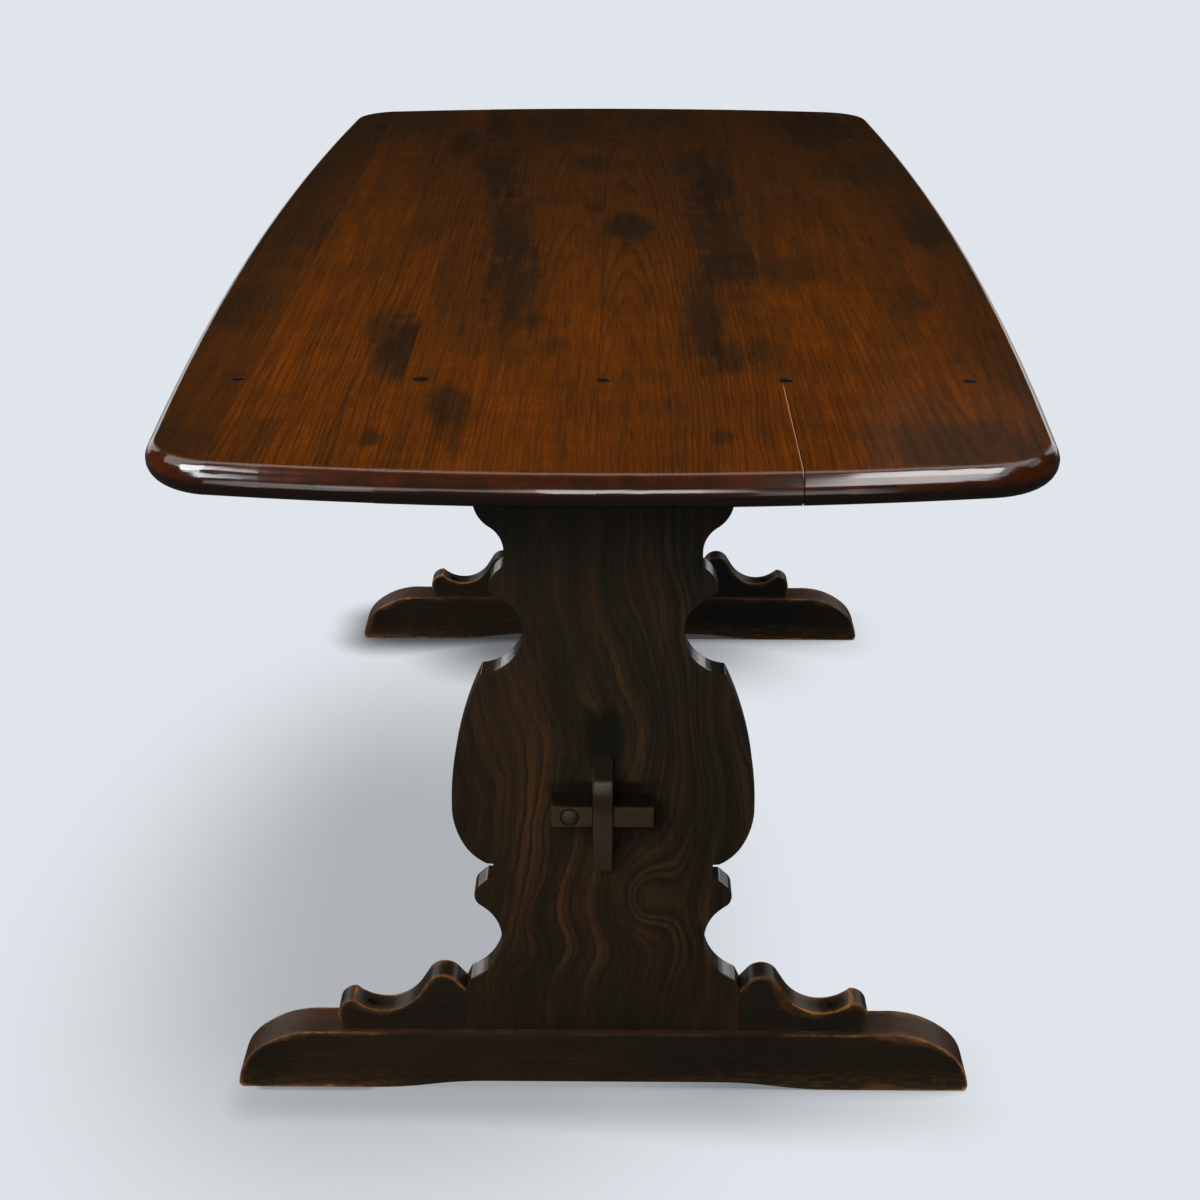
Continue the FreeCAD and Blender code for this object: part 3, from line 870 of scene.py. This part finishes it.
@dataclass
class Timber:
    """A softened copy of one solid, finely divided, that stands for it."""

    node: str
    body: str
    slot: str
    finish: bpy.types.Material
    round_over: float = 0.0008
    segments: int = 2
    cell: float = 0.006
    arris_angle: float = math.radians(24.0)
    crisp_angle: float = math.radians(32.0)
    flat_angle: float = math.radians(0.06)
    skip_seams: bool = False
    seam_height: float = 0.02
    sheltered: tuple[tuple[int, float], ...] = ()
    soften: int = 0
    bore: tuple[float, float] = (0.0, 0.0)
    bore_radius: float = 0.009
    mark_spacing: float = 0.004
    farthest: float = 0.1

    def build(self) -> bpy.types.Object:
        """Returns:
            The finished object.
        """
        shape = self._merged()
        arrises = self._arrises(shape)
        lines = [
            (edge.verts[0].co.copy(), edge.verts[1].co.copy())
            for edge in arrises if not self._is_bore(edge)
        ]
        bmesh.ops.bevel(
            shape,
            geom=arrises,
            offset=self.round_over,
            offset_type="OFFSET",
            affect="EDGES",
            segments=self.segments,
            profile=0.5,
            material=-1,
            clamp_overlap=True,
        )
        self._divide(shape)
        self._soften(shape)
        self._shade(shape)
        mesh = bpy.data.meshes.new(f"{self.node}_timber")
        shape.to_mesh(mesh)
        shape.free()
        self._measure(mesh, lines)
        return self._declare(mesh)

    def _merged(self) -> bmesh.types.BMesh:
        """Copy the solid, join its loose triangles and clear its flat faces.

        Returns:
            The shape.
        """
        shape = bmesh.new()
        shape.from_mesh(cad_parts[self.node].data)
        bmesh.ops.remove_doubles(shape, verts=shape.verts, dist=MERGED)
        bmesh.ops.dissolve_limit(
            shape, angle_limit=self.flat_angle, verts=shape.verts, edges=shape.edges
        )
        return shape

    def _arrises(self, shape: bmesh.types.BMesh) -> list[bmesh.types.BMEdge]:
        """Find the outward edges that hands and time have rounded.

        Args:
            shape: The merged solid.

        Returns:
            The edges.
        """
        return [
            edge for edge in shape.edges
            if len(edge.link_faces) == 2 and edge.is_convex
            and edge.calc_face_angle() >= self.arris_angle
            and not self._is_sheltered(*edge.verts)
            and not (self.skip_seams and any(self._is_seam(face) for face in edge.link_faces))
        ]

    def _is_seam(self, face: bmesh.types.BMFace) -> bool:
        """Tell a glued seam face by its flatness and its height."""
        heights = [vert.co.z for vert in face.verts]
        return abs(face.normal.x) > 0.999 and max(heights) - min(heights) > self.seam_height

    def _is_sheltered(self, *verts: bmesh.types.BMVert) -> bool:
        """Tell points that lie against one neighbour, where nothing rubs them.

        Args:
            verts: The points, one or the two of an edge.

        Returns:
            True where all of them do.
        """
        return any(
            all(abs(abs(vert.co[axis]) - place) < TOUCHING for vert in verts)
            for axis, place in self.sheltered
        )

    def _is_bore(self, edge: bmesh.types.BMEdge) -> bool:
        """Tell the rim of a screw's bore, which stays dark.

        Args:
            edge: An arris.

        Returns:
            True on the rim.
        """
        x, y = self.bore
        places = [(abs(vert.co.x) - x, abs(vert.co.y) - y) for vert in edge.verts]
        return all(math.hypot(*place) < self.bore_radius for place in places)

    def _divide(self, shape: bmesh.types.BMesh) -> None:
        """Cut the piece by a grid of planes, so that its surface can carry detail.

        Args:
            shape: The piece.
        """
        for axis in range(3):
            places = [vert.co[axis] for vert in shape.verts]
            low, high = min(places), max(places)
            count = int((high - low) / self.cell)
            normal = Vector((0.0, 0.0, 0.0))
            normal[axis] = 1.0
            for step in range(1, count + 1):
                at = normal * (low + (high - low) * step / (count + 1))
                everything = shape.verts[:] + shape.edges[:] + shape.faces[:]
                bmesh.ops.bisect_plane(
                    shape, geom=everything, dist=MERGED, plane_co=at, plane_no=normal
                )

    def _soften(self, shape: bmesh.types.BMesh) -> None:
        """Ease a shape worn round by hand, except where it lies against its neighbour.

        Args:
            shape: The piece.
        """
        loose = [vert for vert in shape.verts if not self._is_sheltered(vert)]
        for _ in range(self.soften):
            bmesh.ops.smooth_vert(
                shape, verts=loose, factor=0.5, use_axis_x=True, use_axis_y=True, use_axis_z=True
            )

    def _shade(self, shape: bmesh.types.BMesh) -> None:
        """Smooth the faces and keep the crisp corners.

        Args:
            shape: The piece.
        """
        for face in shape.faces:
            face.smooth = True
        for edge in shape.edges:
            edge.smooth = len(edge.link_faces) == 2 and edge.calc_face_angle() < self.crisp_angle

    def _measure(self, mesh: bpy.types.Mesh, lines: Sequence[tuple[Vector, Vector]]) -> None:
        """Write on every vertex how far it is from the nearest arris.

        Args:
            mesh: The piece's mesh.
            lines: The arrises, from end to end.
        """
        marks = [
            (start.lerp(end, share), place) for place, (start, end) in enumerate(lines)
            for share in steps((end - start).length, self.mark_spacing)
        ]
        tree = KDTree(len(marks))
        for place, (point, _) in enumerate(marks):
            tree.insert(point, place)
        tree.balance()
        reach = []
        for vert in mesh.vertices:
            best = self.farthest
            for _, place, _ in tree.find_n(vert.co, 3):
                start, end = lines[marks[place][1]]
                foot, share = intersect_point_line(vert.co, start, end)
                foot = start if share < 0.0 else end if share > 1.0 else foot
                best = min(best, (vert.co - foot).length)
            reach.append(best)
        mesh.attributes.new("arris", "FLOAT", "POINT").data.foreach_set("value", reach)

    def _declare(self, mesh: bpy.types.Mesh) -> bpy.types.Object:
        """Dress the piece, hang it on its body and hide the solid that it stands for.

        Args:
            mesh: The piece's mesh.

        Returns:
            The piece.
        """
        mesh.materials.append(self.finish)
        piece = add_object(f"{self.node}_timber", mesh)
        piece.modifiers.new("even_shading", "WEIGHTED_NORMAL").keep_sharp = True
        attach(piece, self.body)
        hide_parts(self.node)
        log.info("%s: %d faces", piece.name, len(mesh.polygons))
        return piece


def shades(*rows: Row) -> tuple[Patch, ...]:
    """Turn rows of sizes into dark patches: stain on the boards, mostly painted shade on the
    trestle.
    """
    return tuple(Patch(*row) for row in rows)


@dataclass
class Top:
    """The boat-shaped top of five boards."""

    ring_width: float = 0.0044
    cell: float = 0.016
    round_over: float = 0.0013
    chipped_board: int = 4
    seams: Row = (-1.0, -0.30235, -0.1702, -0.00407, 0.15137, 1.0)
    levels: Row = (0.655, 0.81, 0.725, 0.725, 0.72)
    ring_depths: Row = (0.26, 0.30, 0.30, 0.30, 0.20)
    hearts: tuple[Triple, ...] = (
        (-0.42, 0.60, 0.012),
        (-0.36, 0.62, 0.020),
        (-0.035, 0.676, 0.030),
        (0.022, 0.673, 0.035),
        (0.30, 0.64, -0.030),
    )
    patches: tuple[tuple[Patch, ...], ...] = (
        shades(
            (-0.345, -0.30, 0.03, 0.10, 0.20),
            (-0.33, -0.70, 0.05, 0.07, 0.25),
        ),
        shades(
            (-0.182, -0.43, 0.024, 0.12, 0.62),
            (-0.202, -0.37, 0.018, 0.06, 0.30),
            (-0.178, -0.685, 0.011, 0.022, 0.50),
            (-0.190, 0.50, 0.020, 0.09, 0.35),
            (-0.198, 0.02, 0.020, 0.09, 0.22),
            (-0.26, 0.66, 0.06, 0.10, 0.25),
            (-0.285, -0.70, 0.03, 0.08, 0.22),
        ),
        shades(
            (-0.130, -0.595, 0.018, 0.055, 0.50),
            (-0.120, -0.660, 0.014, 0.040, 0.25),
            (-0.150, 0.62, 0.022, 0.12, 0.40, 0.10),
            (-0.136, 0.31, 0.030, 0.15, 0.44, 0.14, 1.3),
            (-0.128, 0.27, 0.024, 0.09, 0.24, 0.20, 1.2),
            (-0.108, 0.03, 0.032, 0.20, 0.38, 0.04, 1.3),
            (-0.090, -0.20, 0.031, 0.22, 0.44, 0.08, 1.3),
            (-0.060, 0.17, 0.030, 0.05, 0.22),
            (-0.020, 0.38, 0.026, 0.06, 0.38),
            (-0.010, 0.13, 0.016, 0.04, 0.28),
            (-0.06, 0.62, 0.05, 0.14, 0.30),
            (-0.045, -0.42, 0.016, 0.035, 0.25),
        ),
        shades(
            (0.024, 0.030, 0.029, 0.080, 0.62, 0.0, 0.40),
            (0.102, 0.38, 0.024, 0.09, 0.40, -0.10),
            (0.122, 0.24, 0.032, 0.13, 0.50, -0.06),
            (0.121, 0.0, 0.036, 0.24, 0.42, 0.02, 1.2),
            (0.124, -0.15, 0.036, 0.08, 0.36),
            (0.092, -0.33, 0.020, 0.17, 0.50),
            (0.108, -0.46, 0.022, 0.05, 0.45),
            (0.138, -0.44, 0.014, 0.05, 0.35),
            (0.096, -0.68, 0.010, 0.026, 0.40),
            (0.08, 0.66, 0.06, 0.10, 0.22),
        ),
        shades(
            (0.188, -0.15, 0.034, 0.060, 0.26),
            (0.166, -0.10, 0.014, 0.12, 0.18),
            (0.285, -0.28, 0.016, 0.06, 0.26),
            (0.345, 0.02, 0.03, 0.11, 0.45),
            (0.270, 0.61, 0.055, 0.17, 0.50),
            (0.310, 0.36, 0.05, 0.12, 0.22),
            (0.28, -0.70, 0.08, 0.07, 0.35),
        ),
    )

    def build(self) -> None:
        """Make the boards."""
        given = zip(self.levels, self.hearts, self.ring_depths, self.patches)
        for number, (level, heart, ring_depth, marks) in enumerate(given, 1):
            across, deep, lean = heart
            finish = Board(
                f"board_{number}_elm", Grain.LENGTHWISE, AMBER, level, self.ring_width, ring_depth,
                heart_across=across, heart_deep=deep, lean=lean, patches=marks,
                seams=self.seams[number - 1:number + 1], chipped=number == self.chipped_board,
                fibre_depth=0.54, cloud_depth=0.40, mottle_depth=0.72,
                worn=(0.15, 0.065, 0.045), wear=0.0011, wear_strength=0.6,
                roughness=0.38, specular=0.0, coat=0.05, edge_coat=1.0, coat_roughness=0.13,
                relief=0.00012, seed=number * 1.7,
            ).material()
            Timber(
                f"top_board_{number}", "table", "top_elm", finish,
                round_over=self.round_over, cell=self.cell, skip_seams=True,
            ).build()


@dataclass
class Trestle:
    """One trestle: bearer, sawn panel, foot and its two brackets, with their fixings."""

    side: Side
    round_over: float = 0.0011
    cell: float = 0.006
    far_seed: float = 3.1
    # Painted shade: the right halves of the far foot and far bracket, the near panel under the
    # top's overhang, above the tenons and round the key, and the key's top; the near foot and panel
    # are also darker in places
    foot_shade: dict[Side, tuple[Patch, ...]] = field(default_factory=lambda: {
        Side.NEAR: shades((0.03, 0.12, 0.2, 0.12, 0.25), (0.03, -0.34, 0.2, 0.04, 0.3)),
        Side.FAR: shades(
            (0.03, 0.15, 0.3, 0.17, 0.85, 0.0, 0.3),
            (0.03, -0.37, 0.3, 0.07, 0.45, 0.0, 0.3),
        ),
    })
    bracket_shade: dict[Side, tuple[Patch, ...]] = field(default_factory=lambda: {
        Side.NEAR: shades((0.07, 0.20, 0.2, 0.06, 0.25)),
        Side.FAR: shades((0.09, 0.18, 0.3, 0.14, 0.8, 0.0, 0.3)),
    })
    panel_shade: dict[Side, tuple[Patch, ...]] = field(default_factory=lambda: {
        Side.NEAR: shades(
            (0.001, 0.378, 0.019, 0.034, 0.75, 0.0, 0.5),
            (0.0, 0.327, 0.052, 0.008, 0.8, 0.0, 0.2),
            (0.02, 0.285, 0.05, 0.022, 0.30),
            (0.0, 0.045, 0.16, 0.035, 0.30),
            (0.13, 0.38, 0.08, 0.26, 0.25),
            (-0.14, 0.30, 0.03, 0.22, 0.20),
            (0.0, 0.67, 0.20, 0.12, 0.45, 0.0, 0.4),
            (0.0, 0.57, 0.30, 0.19, 0.10, 0.0, 0.4),
            (-0.13, 0.62, 0.07, 0.10, 0.55, 0.0, 0.6),
            (0.13, 0.61, 0.08, 0.10, 0.40, 0.0, 0.6),
        ),
        Side.FAR: shades((0.0, 0.327, 0.052, 0.008, 0.8, 0.0, 0.2)),
    })
    key_shade: tuple[Patch, ...] = shades(
        (0.0, 0.362, 0.03, 0.022, 0.7, 0.0, 0.3),
        (0.0, 0.328, 0.03, 0.014, 0.35, 0.0, 0.5),
    )
    knots: tuple[Knot, ...] = (
        Knot(0.015, 0.365, 0.075, 0.085, 0.055),
        Knot(0.035, 0.215, 0.030, 0.040, -0.045),
        Knot(-0.005, 0.150, 0.065, 0.034, 0.026),
        Knot(0.115, 0.400, 0.040, 0.060, -0.030),
        Knot(-0.090, 0.330, 0.050, 0.120, 0.020),
    )
    panel_ends: tuple[tuple[int, float], ...] = ((2, 0.662), (2, 0.025))
    bracket_joints: tuple[tuple[int, float], ...] = ((2, 0.063), (0, 0.131))
    bracket_bore: tuple[float, float] = (0.221, TRESTLE_PLACE)
    key_back: tuple[tuple[int, float], ...] = ((1, 0.5437),)

    @property
    def end(self) -> str:
        """The word that starts this trestle's names."""
        return self.side.name.lower()

    @property
    def seed(self) -> float:
        """What sets this trestle's grain apart from the other's."""
        return 0.0 if self.side is Side.NEAR else self.far_seed

    def build(self) -> None:
        """Make every piece of the trestle."""
        foot, bracket = self._foot_finishes()
        self._timber("panel", self._panel_finish(), sheltered=self.panel_ends)
        self._timber("bearer", foot)
        self._timber("foot", foot)
        for part in ("left_bracket", "right_bracket"):
            self._timber(part, bracket, sheltered=self.bracket_joints, bore=self.bracket_bore)
        self._fixings()

    def _panel_finish(self) -> bpy.types.Material:
        """Figured elm for the panel.

        Returns:
            The new material.
        """
        return Figured(
            f"{self.end}_panel_elm", Grain.UPRIGHT, UMBER, level=1.12, ring_depth=0.64,
            cloud_depth=0.6, cloud_scale=9.0, mottle_depth=0.45, fibre_depth=0.30, wander=0.016,
            knots=self.knots, patches=self.panel_shade[self.side],
            worn=(0.12, 0.050, 0.022), wear=0.0010, wear_strength=0.35,
            roughness=0.48, specular=0.03, coat=0.005, edge_coat=1.0, coat_roughness=0.16,
            seed=self.seed,
        ).material()

    def _foot_finishes(self) -> tuple[bpy.types.Material, bpy.types.Material]:
        """Smoked elm, worn differently on the foot and on the brackets.

        Returns:
            The foot's material and the brackets'.
        """
        shared = {
            "grain": Grain.CROSSWISE, "tones": SMOKED, "ring_depth": 0.3, "heart_across": -0.05,
            "heart_deep": self.side.value * 0.62, "cloud_depth": 0.5, "cloud_scale": 5.0,
            "mottle_depth": 0.45, "fibre_depth": 0.24, "wear_strength": 1.0, "specular": 0.08,
            "coat": 0.06,
        }
        foot = FootStock(
            f"{self.end}_foot_elm", level=0.58, patches=self.foot_shade[self.side],
            worn=(0.40, 0.175, 0.060), wear=0.0023, middle_wear=0.13, scuff=0.26,
            scuff_from=0.16, seed=self.seed + 0.6, **shared,
        )
        bracket = Stock(
            f"{self.end}_bracket_elm", level=0.50, patches=self.bracket_shade[self.side],
            worn=(0.46, 0.185, 0.045), wear=0.0026, wear_low=0.066, scuff=0.12,
            edge_coat=0.22, seed=self.seed + 0.9, **shared,
        )
        return foot.material(), bracket.material()

    def _fixings(self) -> None:
        """Make the plugs, the peg and the key, and dress the screws."""
        plug = Stock(
            f"{self.end}_plug_wood", Grain.CROSSWISE, UMBER, level=0.12,
            worn=(0.13, 0.07, 0.04), wear=0.0005,
            wear_strength=0.4 if self.side is Side.NEAR else 0.1,
            roughness=0.6, specular=0.0, coat=0.05, seed=self.seed + 1.1,
        ).material()
        key = Stock(
            f"{self.end}_key_wood", Grain.UPRIGHT, DRIED, level=0.76, ring_depth=0.08,
            patches=self.key_shade, worn=(0.10, 0.050, 0.026), wear_strength=0.4,
            specular=0.06, coat=0.09, coat_roughness=0.08, seed=self.seed + 2.2,
        ).material()
        peg = Stock(
            f"{self.end}_peg_wood", Grain.LENGTHWISE, DRIED, level=0.74,
            worn=(0.13, 0.06, 0.025), wear_strength=0.3, specular=0.03, coat=0.01,
            seed=self.seed + 1.9,
        ).material()
        self._timber("top_plugs", plug, "plug_wood", cell=0.004, round_over=0.0004)
        self._timber("tenon_peg", peg, "plug_wood", cell=0.004, round_over=0.0003)
        self._timber(
            "key", key, "key_wood", cell=0.0025, round_over=0.0022, soften=9,
            sheltered=self.key_back, body=f"{self.end}_key_body",
        )
        steel = Steel(f"{self.end}_screw_steel").material()
        for part in ("top_screws", "bracket_screws"):
            dress(f"{self.end}_{part}", steel)

    def _timber(
        self, part: str, finish: bpy.types.Material, slot: str = "trestle_elm", **sizes: Any
    ) -> None:
        """Make one wooden piece of this end."""
        given = {"body": "table", "round_over": self.round_over, "cell": self.cell, **sizes}
        Timber(node=f"{self.end}_{part}", slot=slot, finish=finish, **given).build()


def dress(node: str, finish: bpy.types.Material) -> None:
    """Give a solid that stays as it is its finish.

    Args:
        node: The solid's name.
        finish: Its material.
    """
    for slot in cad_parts[node].material_slots:
        slot.material = finish
    log.info("%s: kept", node)


@dataclass
class Rail:
    """The stretcher between the trestles."""

    round_over: float = 0.0012
    cell: float = 0.008

    def build(self) -> None:
        """Make the stretcher."""
        finish = RailStock(
            "stretcher_elm", Grain.LENGTHWISE, DRIED, level=0.72, heart_deep=0.26,
            worn=(0.10, 0.048, 0.024), wear_strength=0.3, specular=0.0, coat=0.012, seed=5.5,
        ).material()
        Timber(
            "stretcher", "table", "trestle_elm", finish, round_over=self.round_over, cell=self.cell
        ).build()


@dataclass(frozen=True)
class Softbox:
    """A flat lamp, placed, aimed and given the brightness of its face."""

    name: str
    place: Triple
    aim: Triple
    width: float
    height: float
    radiance: float
    colour: Triple = (1.0, 1.0, 1.0)
    mirrored: bool = True
    lights: bool = True

    def build(self, floor: bpy.types.Object) -> None:
        """Hang the lamp.

        Args:
            floor: The floor, which this lamp leaves alone.
        """
        lamp = bpy.data.lights.new(self.name, "AREA")
        lamp.shape = "RECTANGLE"
        lamp.size = self.width
        lamp.size_y = self.height
        lamp.energy = self.radiance * math.pi * self.width * self.height
        lamp.color = self.colour
        held = add_object(self.name, lamp)
        held.location = self.place
        towards = (Vector(self.aim) - Vector(self.place)).normalized()
        tall = Vector((1.0, 0.0, 0.0)).cross(towards).normalized()
        held.rotation_euler = Matrix((tall.cross(-towards), tall, -towards)).transposed().to_euler()
        held.visible_camera = False
        held.visible_glossy = self.mirrored
        held.visible_diffuse = self.lights
        light_floor(held, floor, False)
        log.info("%s: lamp", self.name)


def glossy(*row: Any) -> Softbox:
    """A softbox that shows in the gloss alone."""
    return Softbox(*row, lights=False)


def unmirrored(*row: Any) -> Softbox:
    """A softbox that the gloss doesn't show."""
    return Softbox(*row, mirrored=False)


def light_floor(lamp: bpy.types.Object, floor: bpy.types.Object, only: bool) -> None:
    """Let a lamp light the floor alone, or everything but the floor.

    Args:
        lamp: The lamp.
        floor: The floor.
        only: True for the floor alone.
    """
    receivers = bpy.data.collections.new(f"{lamp.name}_receivers")
    receivers.objects.link(floor)
    lamp.light_linking.receiver_collection = receivers
    receivers.collection_objects[0].light_linking.link_state = "INCLUDE" if only else "EXCLUDE"


@dataclass
class Studio:
    """The pale floor, the light and the camera."""

    floor_size: float = 60.0
    floor_drop: float = 0.0004
    floor_bounce: Triple = (0.16, 0.16, 0.16)
    pool_middle: tuple[float, float] = (-0.24, -0.24)
    pool_size: tuple[float, float] = (0.52, 0.87)
    pool_share: float = 0.43
    foot_reach: float = 0.33
    foot_margin: float = 0.03
    contact_shares: tuple[float, float] = (0.56, 0.94)
    contact_reach: float = 0.09
    right_share: float = 0.16
    tight_share: float = 0.8
    inside_share: float = 0.8
    mirror_level: float = 0.008
    floor_mirror_level: float = 0.05
    sun_from: Triple = (0.22, -0.04, 0.97)
    sun_angle: float = math.radians(40.0)
    camera_place: Triple = (0.0148, -2.2179, 1.2328)
    camera_turn: Triple = (math.pi / 2 - 0.4059, 0.0, 0.0105)
    camera_lens: float = 62.34
    boxes: tuple[Softbox, ...] = (
        Softbox("overhead", (-1.0, -0.2, 2.6), (-1.0, -0.2, 0.7), 6.4, 1.5, 2.5),
        glossy("overhead_side", (3.0, -0.2, 2.6), (3.0, -0.2, 0.7), 1.6, 1.5, 1.2),
        glossy("left_window", (-1.60, -1.47, 2.04), (-0.33, -0.755, 0.7), 1.25, 0.78, 22.0, BLUISH),
        glossy("left_pane", (-1.70, -1.85, 1.62), (-0.33, -0.755, 0.7), 0.74, 0.48, 12.0, BLUISH),
        glossy("left_door", (-1.506, -2.303, 1.173), (-0.33, -0.755, 0.7), 0.7, 0.75, 17.0, BLUISH),
        glossy("right_window", (0.986, -1.636, 2.348), (0.27, -0.76, 0.7), 0.60, 0.97, 15.0),
        glossy("right_door", (0.954, -2.434, 1.554), (0.27, -0.76, 0.7), 0.56, 1.4, 9.5),
        glossy("right_spill", (1.447, -1.695, 2.042), (0.30, -0.755, 0.7), 0.36, 1.9, 2.8),
        glossy("front_window", (0.06, -2.55, 0.50), (0.0, -0.77, 0.69), 0.57, 0.50, 9.5, WARM),
        glossy("front_wall", (-0.2, -2.65, 0.33), (-0.1, -0.77, 0.69), 1.4, 0.40, 2.4),
        glossy("left_card", (-0.60, -1.577, 0.37), (-0.23, -0.757, 0.696), 0.32, 0.42, 2.7),
        glossy("right_card", (0.42, -1.617, 0.26), (0.18, -0.76, 0.695), 0.22, 0.48, 2.2),
        unmirrored("front_fill", (-0.9, -3.1, 1.9), (0.0, -0.54, 0.35), 3.0, 1.2, 6.5),
        Softbox("left_back", (-2.3, 2.5, 1.5), (0.0, 0.0, 0.6), 1.7, 2.4, 1.2),
        Softbox("right_back", (2.3, 2.5, 1.5), (0.0, 0.0, 0.6), 1.7, 2.4, 1.2),
        glossy("grey_card", (0.95, 2.2, 1.97), (0.25, -0.66, 0.71), 0.75, 0.7, 1.1),
        glossy("left_rim", (-1.35, 2.6, 0.46), (-0.1, -0.54, 0.5), 1.5, 0.92, 0.55),
        glossy("right_rim", (1.35, 2.6, 0.46), (0.1, -0.54, 0.5), 1.5, 0.92, 0.48),
        unmirrored("back_fill", (0.0, 3.3, 0.9), (0.0, 0.0, 0.4), 3.0, 1.4, 3.0),
        unmirrored("left_fill", (-3.2, 0.3, 0.8), (0.0, 0.3, 0.4), 3.0, 1.4, 2.4),
        unmirrored("right_fill", (3.2, 0.3, 0.8), (0.0, 0.3, 0.4), 3.0, 1.4, 2.4),
    )

    def build(self) -> None:
        """Lay the floor, hang the lamps and set the camera."""
        floor = self._floor()
        for box in self.boxes:
            box.build(floor)
        self._sun(floor)
        self._world()
        self._camera()
        bpy.context.scene.view_settings.view_transform = "Standard"

    @staticmethod
    def _seen(mixer: Mixer) -> tuple[Value, Value]:
        """Tell the rays that see the background.

        Args:
            mixer: Writes the nodes.

        Returns:
            Those that see it straight or through something, and those that see it mirrored.
        """
        path = mixer.node("LightPath").outputs
        straight = Value(mixer, path["Is Camera Ray"]) + Value(mixer, path["Is Transmission Ray"])
        return straight, Value(mixer, path["Is Glossy Ray"])

    def _floor(self) -> bpy.types.Object:
        """A wide pale floor that shows the background and the table's soft shadow.

        Returns:
            The floor.
        """
        shape = bmesh.new()
        bmesh.ops.create_grid(shape, x_segments=2, y_segments=2, size=self.floor_size / 2)
        bmesh.ops.translate(shape, verts=shape.verts, vec=(0.0, 0.0, -self.floor_drop))
        mesh = bpy.data.meshes.new("floor")
        shape.to_mesh(mesh)
        shape.free()
        paint, mixer = start_material("pale_floor")
        straight, mirrored = self._seen(mixer)
        share = self._shadow_share(mixer)
        level = straight + mirrored * self.floor_mirror_level
        glow = mixer.value("Emission", None, BACKGROUND, level)
        shaded = mixer.value("BsdfDiffuse", None, BACKGROUND)
        bounce = mixer.value("BsdfDiffuse", None, self.floor_bounce)
        seen = mixer.value("MixShader", None, share * straight, glow, shaded)
        both = mixer.value("MixShader", None, straight + mirrored, bounce, seen)
        mixer.node("OutputMaterial", None, both)
        mesh.materials.append(paint)
        floor = add_object("floor", mesh)
        return floor

    def _shadow_share(self, mixer: Mixer) -> Value:
        """How strongly the floor takes the shadow.

        Args:
            mixer: Writes the nodes.

        Returns:
            A share: a pool on the left, close round the feet, and between the far foot's ends.
        """
        x, y, _ = mixer.parts(mixer.node("TexCoord").outputs["Object"])
        (across, along), (width, length) = self.pool_middle, self.pool_size
        pool = mixer.length(mixer.join((x - across) / width, (y - along) / length, 0.0))
        pool = pool.fade(1.0, 0.25) * self.pool_share
        beside = (abs(x) - self.foot_reach).at_least(0.0)
        ahead = (abs(abs(y) - PANEL_FACE) - self.foot_margin).at_least(0.0)
        beyond = y.fade(-0.1, 0.1)
        right = x.fade(0.0, 0.15) * (1.0 - beyond) * self.right_share
        round_feet = distance(beside, ahead).fade(self.contact_reach, 0.0)
        contact = round_feet * (beyond.between(*self.contact_shares) + right)
        gap = abs(abs(y) - TRESTLE_PLACE) - FOOT_HALF
        tight = gap.fade(0.014, 0.002) * abs(x).fade(0.17, 0.24) * beside.fade(0.02, 0.0)
        inside = abs(x).fade(0.34, 0.15) * beyond * y.fade(0.56, 0.53) * ahead.fade(0.24, 0.02)
        contact = contact.at_least(tight * self.tight_share)
        return pool.at_least(contact).at_least(inside * self.inside_share)

    def _sun(self, floor: bpy.types.Object) -> None:
        """A broad even light from the right that casts the shadow on the floor.

        Args:
            floor: The floor, the one thing that it lights.
        """
        lamp = bpy.data.lights.new("floor_light", "SUN")
        lamp.angle = self.sun_angle
        towards = Vector(self.sun_from).normalized()
        lamp.energy = math.pi / towards.z
        held = add_object("floor_light", lamp)
        held.rotation_euler = (-towards).to_track_quat("-Z", "Y").to_euler()
        held.visible_glossy = False
        light_floor(held, floor, True)

    def _world(self) -> None:
        """Show the background colour all round; the lamps give the light."""
        world = bpy.data.worlds.new("pale_room")
        world.use_nodes = True
        bpy.context.scene.world = world
        mixer = Mixer(world.node_tree)
        straight, mirrored = self._seen(mixer)
        level = straight + mirrored * self.mirror_level
        mixer.node("OutputWorld", None, mixer.value("Background", None, BACKGROUND, level))

    def _camera(self) -> None:
        """Stand where the photograph was taken."""
        camera = bpy.data.cameras.new("camera")
        camera.lens = self.camera_lens
        held = add_object("camera", camera)
        held.location = self.camera_place
        held.rotation_euler = self.camera_turn
        bpy.context.scene.camera = held


def main() -> None:
    """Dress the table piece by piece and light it."""
    logging.basicConfig(level=logging.INFO, format="%(message)s")
    Studio().build()
    Top().build()
    for side in Side:
        Trestle(side).build()
    Rail().build()


if __name__ == "__main__":
    main()
